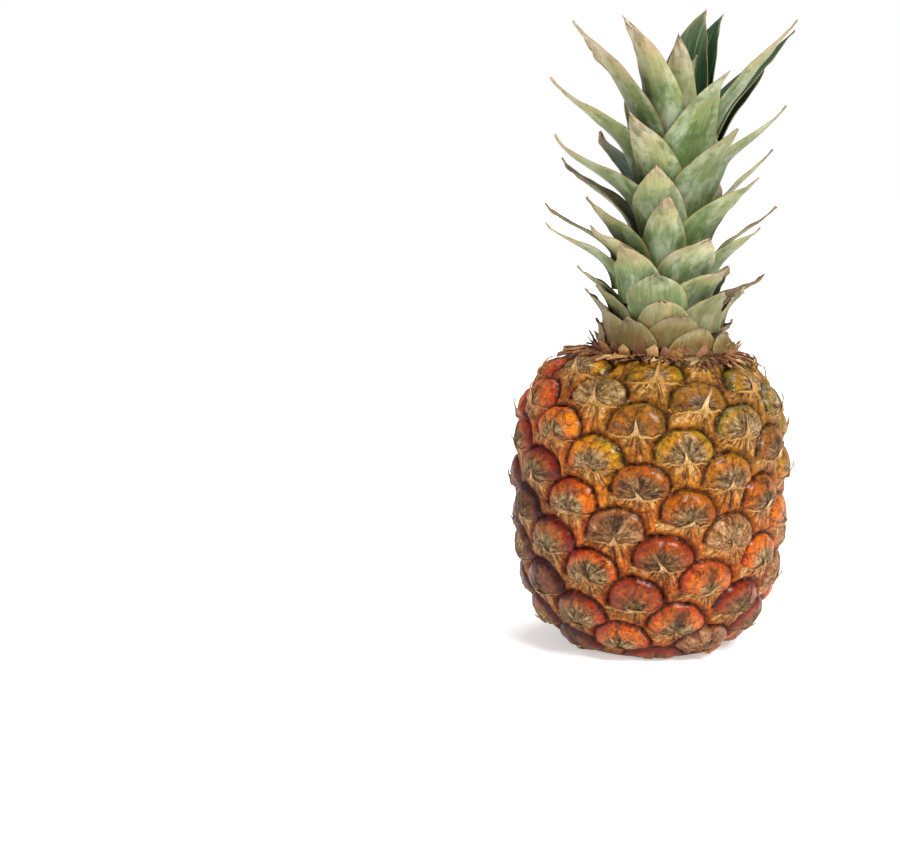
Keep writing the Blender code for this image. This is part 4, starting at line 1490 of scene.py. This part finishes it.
def makeStalkMaterial():
    material, nodes, shader = startMaterial("cut stalk end", 0.85, 0.2)
    place = nodes.placeInMm()
    dots = nodes.streaks(place, (1.4, 1.4, 0.1), 3.0, 0.6)
    broad = nodes.noise(place, 0.2, 3.0, 0.5)
    both = nodes.both(dots, 0.7, broad, 0.3)
    colour = nodes.ramp(both, {0.3: (90, 66, 40), 0.5: (160, 128, 84), 0.7: (206, 178, 130)})
    nodes.join(colour, shader.inputs["Base Color"])
    nodes.bump(shader, both, 0.8, 0.0007)
    return material


def buildStalk():
    # rings from the hidden top centre, down the wall, and in over the cut face
    low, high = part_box("stalk_stub")
    radius = 0.5 * (high.x - low.x)
    sides = 120
    profile = [(0.35, high.z), (0.94, high.z), (0.96, high.z - 1.5 * mm)]
    profile += [(0.985, 2.5 * mm), (1.0, 0.6 * mm), (0.985, 0.15 * mm)]
    profile += [(share, 0.0) for share in np.linspace(0.93, 0.06, 15)]
    points = []
    for share, level in profile:
        for side in range(sides):
            turn = tau * side / sides
            frayed = 1.0 + 0.012 * math.sin(turn * 17) * math.sin(turn * 41 + level * 900)
            reach = radius * min(share * frayed, 1.0)
            dip = 0.0
            if level == 0.0:
                dip = 0.3 * mm * (1 + math.sin(turn * 11 + share * 30) * math.sin(share * 47 + turn * 5))
            points.append((reach * math.sin(turn), -reach * math.cos(turn), level + dip))
    faces = [face[::-1] for face in tubeFaces(len(profile), sides)]
    makePiece("stalk_end", points, faces, makeStalkMaterial(), {}, ["stalk_stub"])


buildStalk()
print("stalk end built")


# the dry collar where the crown meets the fruit: small scale leaves and loose fibres, in millimetres

collarShape = {
    "scales": 150,
    "fibres": 110,
    "seed": 77,
    "uprightEvery": 4,
    "pointWidth": 0.15,
    # the least of each size, and how much a random share of one adds
    "flat": {"reach": 26.0, "length": (7.0, 8.0), "width": (3.0, 3.5), "steepness": (0.02, 0.28)},
    "upright": {"reach": 29.5, "length": (5.5, 3.5), "width": (5.0, 3.0), "steepness": (0.85, 0.4)},
    "fibreReach": (25.0, 6.0),
    "fibreLength": (5.0, 8.0),
    "fibreWidth": (0.22, 0.4),
    "thickness": 0.3,
    "scaleRows": 12,
    "scaleColumns": 7,
    "fibreRings": 11,
    "fibreSides": 5,
}


def makeCollarMaterial():
    material, nodes, shader = startMaterial("dry collar", 0.75, 0.25)
    place = nodes.vector("fibrePlace")
    tone = nodes.value("tone")
    rise = nodes.value("rise")
    fibres = nodes.group(fibreGroup, Place=place, Fineness=1.3, Strength=1.0)
    base = nodes.ramp(tone, {
        0.0: (70, 40, 24), 0.25: (124, 78, 54), 0.5: (168, 118, 86), 0.75: (190, 134, 66),
        1.0: (220, 184, 128),
    })
    colour = nodes.mix(nodes.spread(fibres.outputs["Fibre"], 0.1, 0.9, 0.55, 0.0), base, (98, 70, 52))
    colour = nodes.mix(nodes.spread(rise, 0.7, 1.0, 0.0, 0.45), colour, (120, 88, 66))
    nodes.join(colour, shader.inputs["Base Color"])
    nodes.bump(shader, fibres.outputs["Height"], 0.7, 0.0004)
    return material


def fruitTopHeight(reach):
    # the fruit's height at a distance from its axis, above the waist
    top = outline.heights > rindShape["waist"]
    return np.interp(reach, outline.radii[top][::-1], outline.heights[top][::-1])


def sized(span, pick):
    return span[0] + span[1] * pick


def collarScale(index, pick):
    # one small scale leaf; every fourth stands up against the lowest leaves
    shape = collarShape
    foot = crownShape["foot"]
    turn = tau * (index * goldenShare + 0.03 * pick[0])
    kind = shape["flat"]
    scatter = 4.0 + 7.0 * max(-math.sin(turn), 0.0)
    if index % shape["uprightEvery"] == 0:
        kind = shape["upright"]
        scatter = 1.5
    inner = (kind["reach"] + scatter * pick[1]) * mm
    size = sized(kind["length"], pick[2]) * mm
    width = sized(kind["width"], pick[3]) * mm
    steep = sized(kind["steepness"], pick[4])
    swerve = (pick[5] - 0.5) * 1.8
    along = np.linspace(0, 1, shape["scaleRows"])
    share, side = flatGrid(along, np.linspace(-1, 1, shape["scaleColumns"]))
    taper = 1 - share ** (1.4 + pick[6])
    half = 0.5 * width * taper * (0.75 + 0.25 * np.minimum(share * 4, 1)) + shape["pointWidth"] * mm
    out = inner + size * share * math.cos(steep)
    rise = size * (math.sin(steep) * share + 0.18 * (pick[7] - 0.3) * share**2)
    over = side * half + swerve * size * share**2 * 0.5
    cup = 0.9 * mm * side**2 * (0.3 + pick[8]) + 0.25 * mm * np.sin(side * 5 + share * 9 + 6 * pick[9])
    points = []
    for thick in (0.0, shape["thickness"] * mm):
        reach = out - thick * math.sin(steep)
        x = foot.x + reach * math.sin(turn) + over * math.cos(turn)
        y = -reach * math.cos(turn) + over * math.sin(turn)
        ground = fruitTopHeight(np.hypot(x, y))
        z = ground + 0.2 * mm + rise + cup * (1 - 0.3 * share) - thick * math.cos(steep) + 0.4 * mm
        z = z - 0.9 * mm * (1 - np.minimum(share * 5, 1))
        points.append(np.stack([x, y, z], axis=-1))
    place = np.stack([side * half / mm + index * 13, share * size / mm, 0 * share], axis=-1)
    # the cupped sheet's front is its upper side
    faces = [face[::-1] for face in shellFaces(shape["scaleRows"], shape["scaleColumns"])]
    return np.concatenate(points), faces, twice(share), pick[6], twice(place)


def collarFibre(index, pick):
    # one loose fibre, a thin bent tube that lies on the fruit's shoulder
    shape = collarShape
    turn = tau * pick[0]
    reach = sized(shape["fibreReach"], pick[1]) * mm
    x = crownShape["foot"].x + reach * math.sin(turn)
    y = -reach * math.cos(turn)
    start = np.array([x, y, fruitTopHeight(math.hypot(x, y)) + 0.5 * mm])
    heading = turn + (pick[2] - 0.5) * 2.6
    size = sized(shape["fibreLength"], pick[3]) * mm
    lift = 0.05 + 0.3 * pick[4]
    droop = -0.35 * pick[5]
    thick = sized(shape["fibreWidth"], pick[6]) * mm
    points = []
    rises = []
    places = []
    for share in np.linspace(0.0, 1.0, shape["fibreRings"]):
        bend = heading + (pick[7] - 0.5) * 1.4 * share
        centre = start + size * share * np.array([math.sin(bend), -math.cos(bend), 0.0])
        ground = fruitTopHeight(math.hypot(centre[0], centre[1]))
        centre[2] = max(start[2] + size * (lift * share + droop * share**2), ground + 0.25 * mm)
        width = thick * (1 - 0.85 * share) + 0.05 * mm
        for step in range(shape["fibreSides"]):
            angle = tau * step / shape["fibreSides"]
            aside = np.array([math.cos(bend), math.sin(bend), 0.0]) * math.cos(angle) * width
            points.append(centre + aside + np.array([0, 0, 0.6 * width * math.sin(angle)]))
            rises.append(share)
            places.append((angle * 0.4 + index * 13, share * size / mm, 0.0))
    faces = [face[::-1] for face in tubeFaces(shape["fibreRings"], shape["fibreSides"])]
    return np.array(points), faces, rises, pick[8], places


def buildCollar():
    shape = collarShape
    rng = np.random.default_rng(shape["seed"])
    material = makeCollarMaterial()
    layers = {
        "collar_scales": (shape["scales"], collarScale),
        "collar_fibres": (shape["fibres"], collarFibre),
    }
    for name, (count, makePart) in layers.items():
        parts = Parts()
        for index in range(count):
            points, faces, rise, tone, place = makePart(index, rng.random(10))
            parts.take(points, faces, rise=rise, tone=np.full(len(points), tone), fibrePlace=place)
        points, faces, values = parts.joined()
        makePiece(name, points, faces, material, values, [], sharp=70.0)


buildCollar()
print("collar built")


# floor, lights and camera

studio = {
    "worldLight": 0.36,
    "backdropGlow": 1.0,
    "floorGlow": 0.42,
    "floorReach": 30.0,
    "floorColour": hue(250, 250, 250),
    "aim": Vector((0.0, 0.0, 0.12)),
    "lights": {
        "key": {"place": (0.55, -0.75, 0.85), "energy": 16.5, "size": 0.45},
        "fill": {"place": (-0.9, -0.6, 0.35), "energy": 3.0, "size": 0.8},
        "top": {"place": (0.1, 0.25, 1.0), "energy": 7.5, "size": 0.6},
    },
}
white = (1.0, 1.0, 1.0, 1.0)


def buildFloor():
    reach = studio["floorReach"]
    corners = [(-reach, -reach, 0), (reach, -reach, 0), (reach, reach, 0), (-reach, reach, 0)]
    mesh = bpy.data.meshes.new("studio_floor")
    mesh.from_pydata(corners, [], [(0, 1, 2, 3)])
    floor = bpy.data.objects.new("studio_floor", mesh)
    bpy.context.scene.collection.objects.link(floor)
    material, nodes, shader = startMaterial("studio floor", 0.9, 0.1)
    shader.inputs["Base Color"].default_value = studio["floorColour"]
    shader.inputs["Emission Color"].default_value = white
    away = nodes.add("ShaderNodeVectorMath", operation="LENGTH")
    nodes.join(nodes.add("ShaderNodeTexCoord").outputs["Object"], away.inputs[0])
    # the floor glows more the farther it lies from the fruit, so that no horizon shows
    glow = nodes.spread(away.outputs["Value"], 0.15, 1.1, studio["floorGlow"], 1.0)
    nodes.join(glow, shader.inputs["Emission Strength"])
    mesh.materials.append(material)


def buildLights():
    world = bpy.data.worlds.new("studio")
    world.use_nodes = True
    nodes = Nodes(world.node_tree)
    light = world.node_tree.nodes["Background"]
    light.inputs["Color"].default_value = white
    light.inputs["Strength"].default_value = studio["worldLight"]
    backdrop = nodes.add("ShaderNodeBackground")
    backdrop.inputs["Color"].default_value = white
    backdrop.inputs["Strength"].default_value = studio["backdropGlow"]
    either = nodes.add("ShaderNodeMixShader")
    nodes.join(nodes.add("ShaderNodeLightPath").outputs["Is Camera Ray"], either.inputs["Fac"])
    nodes.join(light.outputs["Background"], either.inputs[1])
    nodes.join(backdrop.outputs["Background"], either.inputs[2])
    nodes.join(either.outputs["Shader"], world.node_tree.nodes["World Output"].inputs["Surface"])
    bpy.context.scene.view_settings.view_transform = "Standard"
    bpy.context.scene.world = world
    for name, values in studio["lights"].items():
        lamp = bpy.data.lights.new(name, "AREA")
        lamp.energy = values["energy"]
        lamp.size = values["size"]
        light = bpy.data.objects.new(name, lamp)
        light.location = values["place"]
        light.rotation_euler = (studio["aim"] - light.location).to_track_quat("-Z", "Y").to_euler()
        bpy.context.scene.collection.objects.link(light)


cameraView = {
    "distance": 0.75,
    "elevation": math.radians(10.5),
    "target": Vector((0.0, 0.0, 0.066)),
    "lens": 66.6,
    "aside": 0.119,
    "down": 0.0433,
}


def buildCamera():
    # the fruit stands right of the middle, so the camera looks past it on the left
    view = cameraView
    size = math.sqrt(1 + view["aside"] ** 2 + view["down"] ** 2)
    right = view["aside"] / size
    low = -view["down"] / size
    ahead = 1.0 / size
    tilt = math.atan2(low, ahead) + math.asin(math.sin(view["elevation"]) / math.hypot(low, ahead))
    level = ahead * math.cos(tilt) + low * math.sin(tilt)
    swing = math.atan2(right, level)
    back = Vector((0.0, -math.cos(view["elevation"]), math.sin(view["elevation"])))
    camera = bpy.data.cameras.new("camera")
    camera.lens = view["lens"]
    camera.sensor_width = 36.0
    camera.clip_end = 20.0
    rig = bpy.data.objects.new("camera", camera)
    rig.location = view["target"] + back * view["distance"]
    rig.rotation_euler = (math.pi / 2 - tilt, 0.0, swing)
    bpy.context.scene.collection.objects.link(rig)
    bpy.context.scene.camera = rig


buildFloor()
buildLights()
buildCamera()
print("studio built")
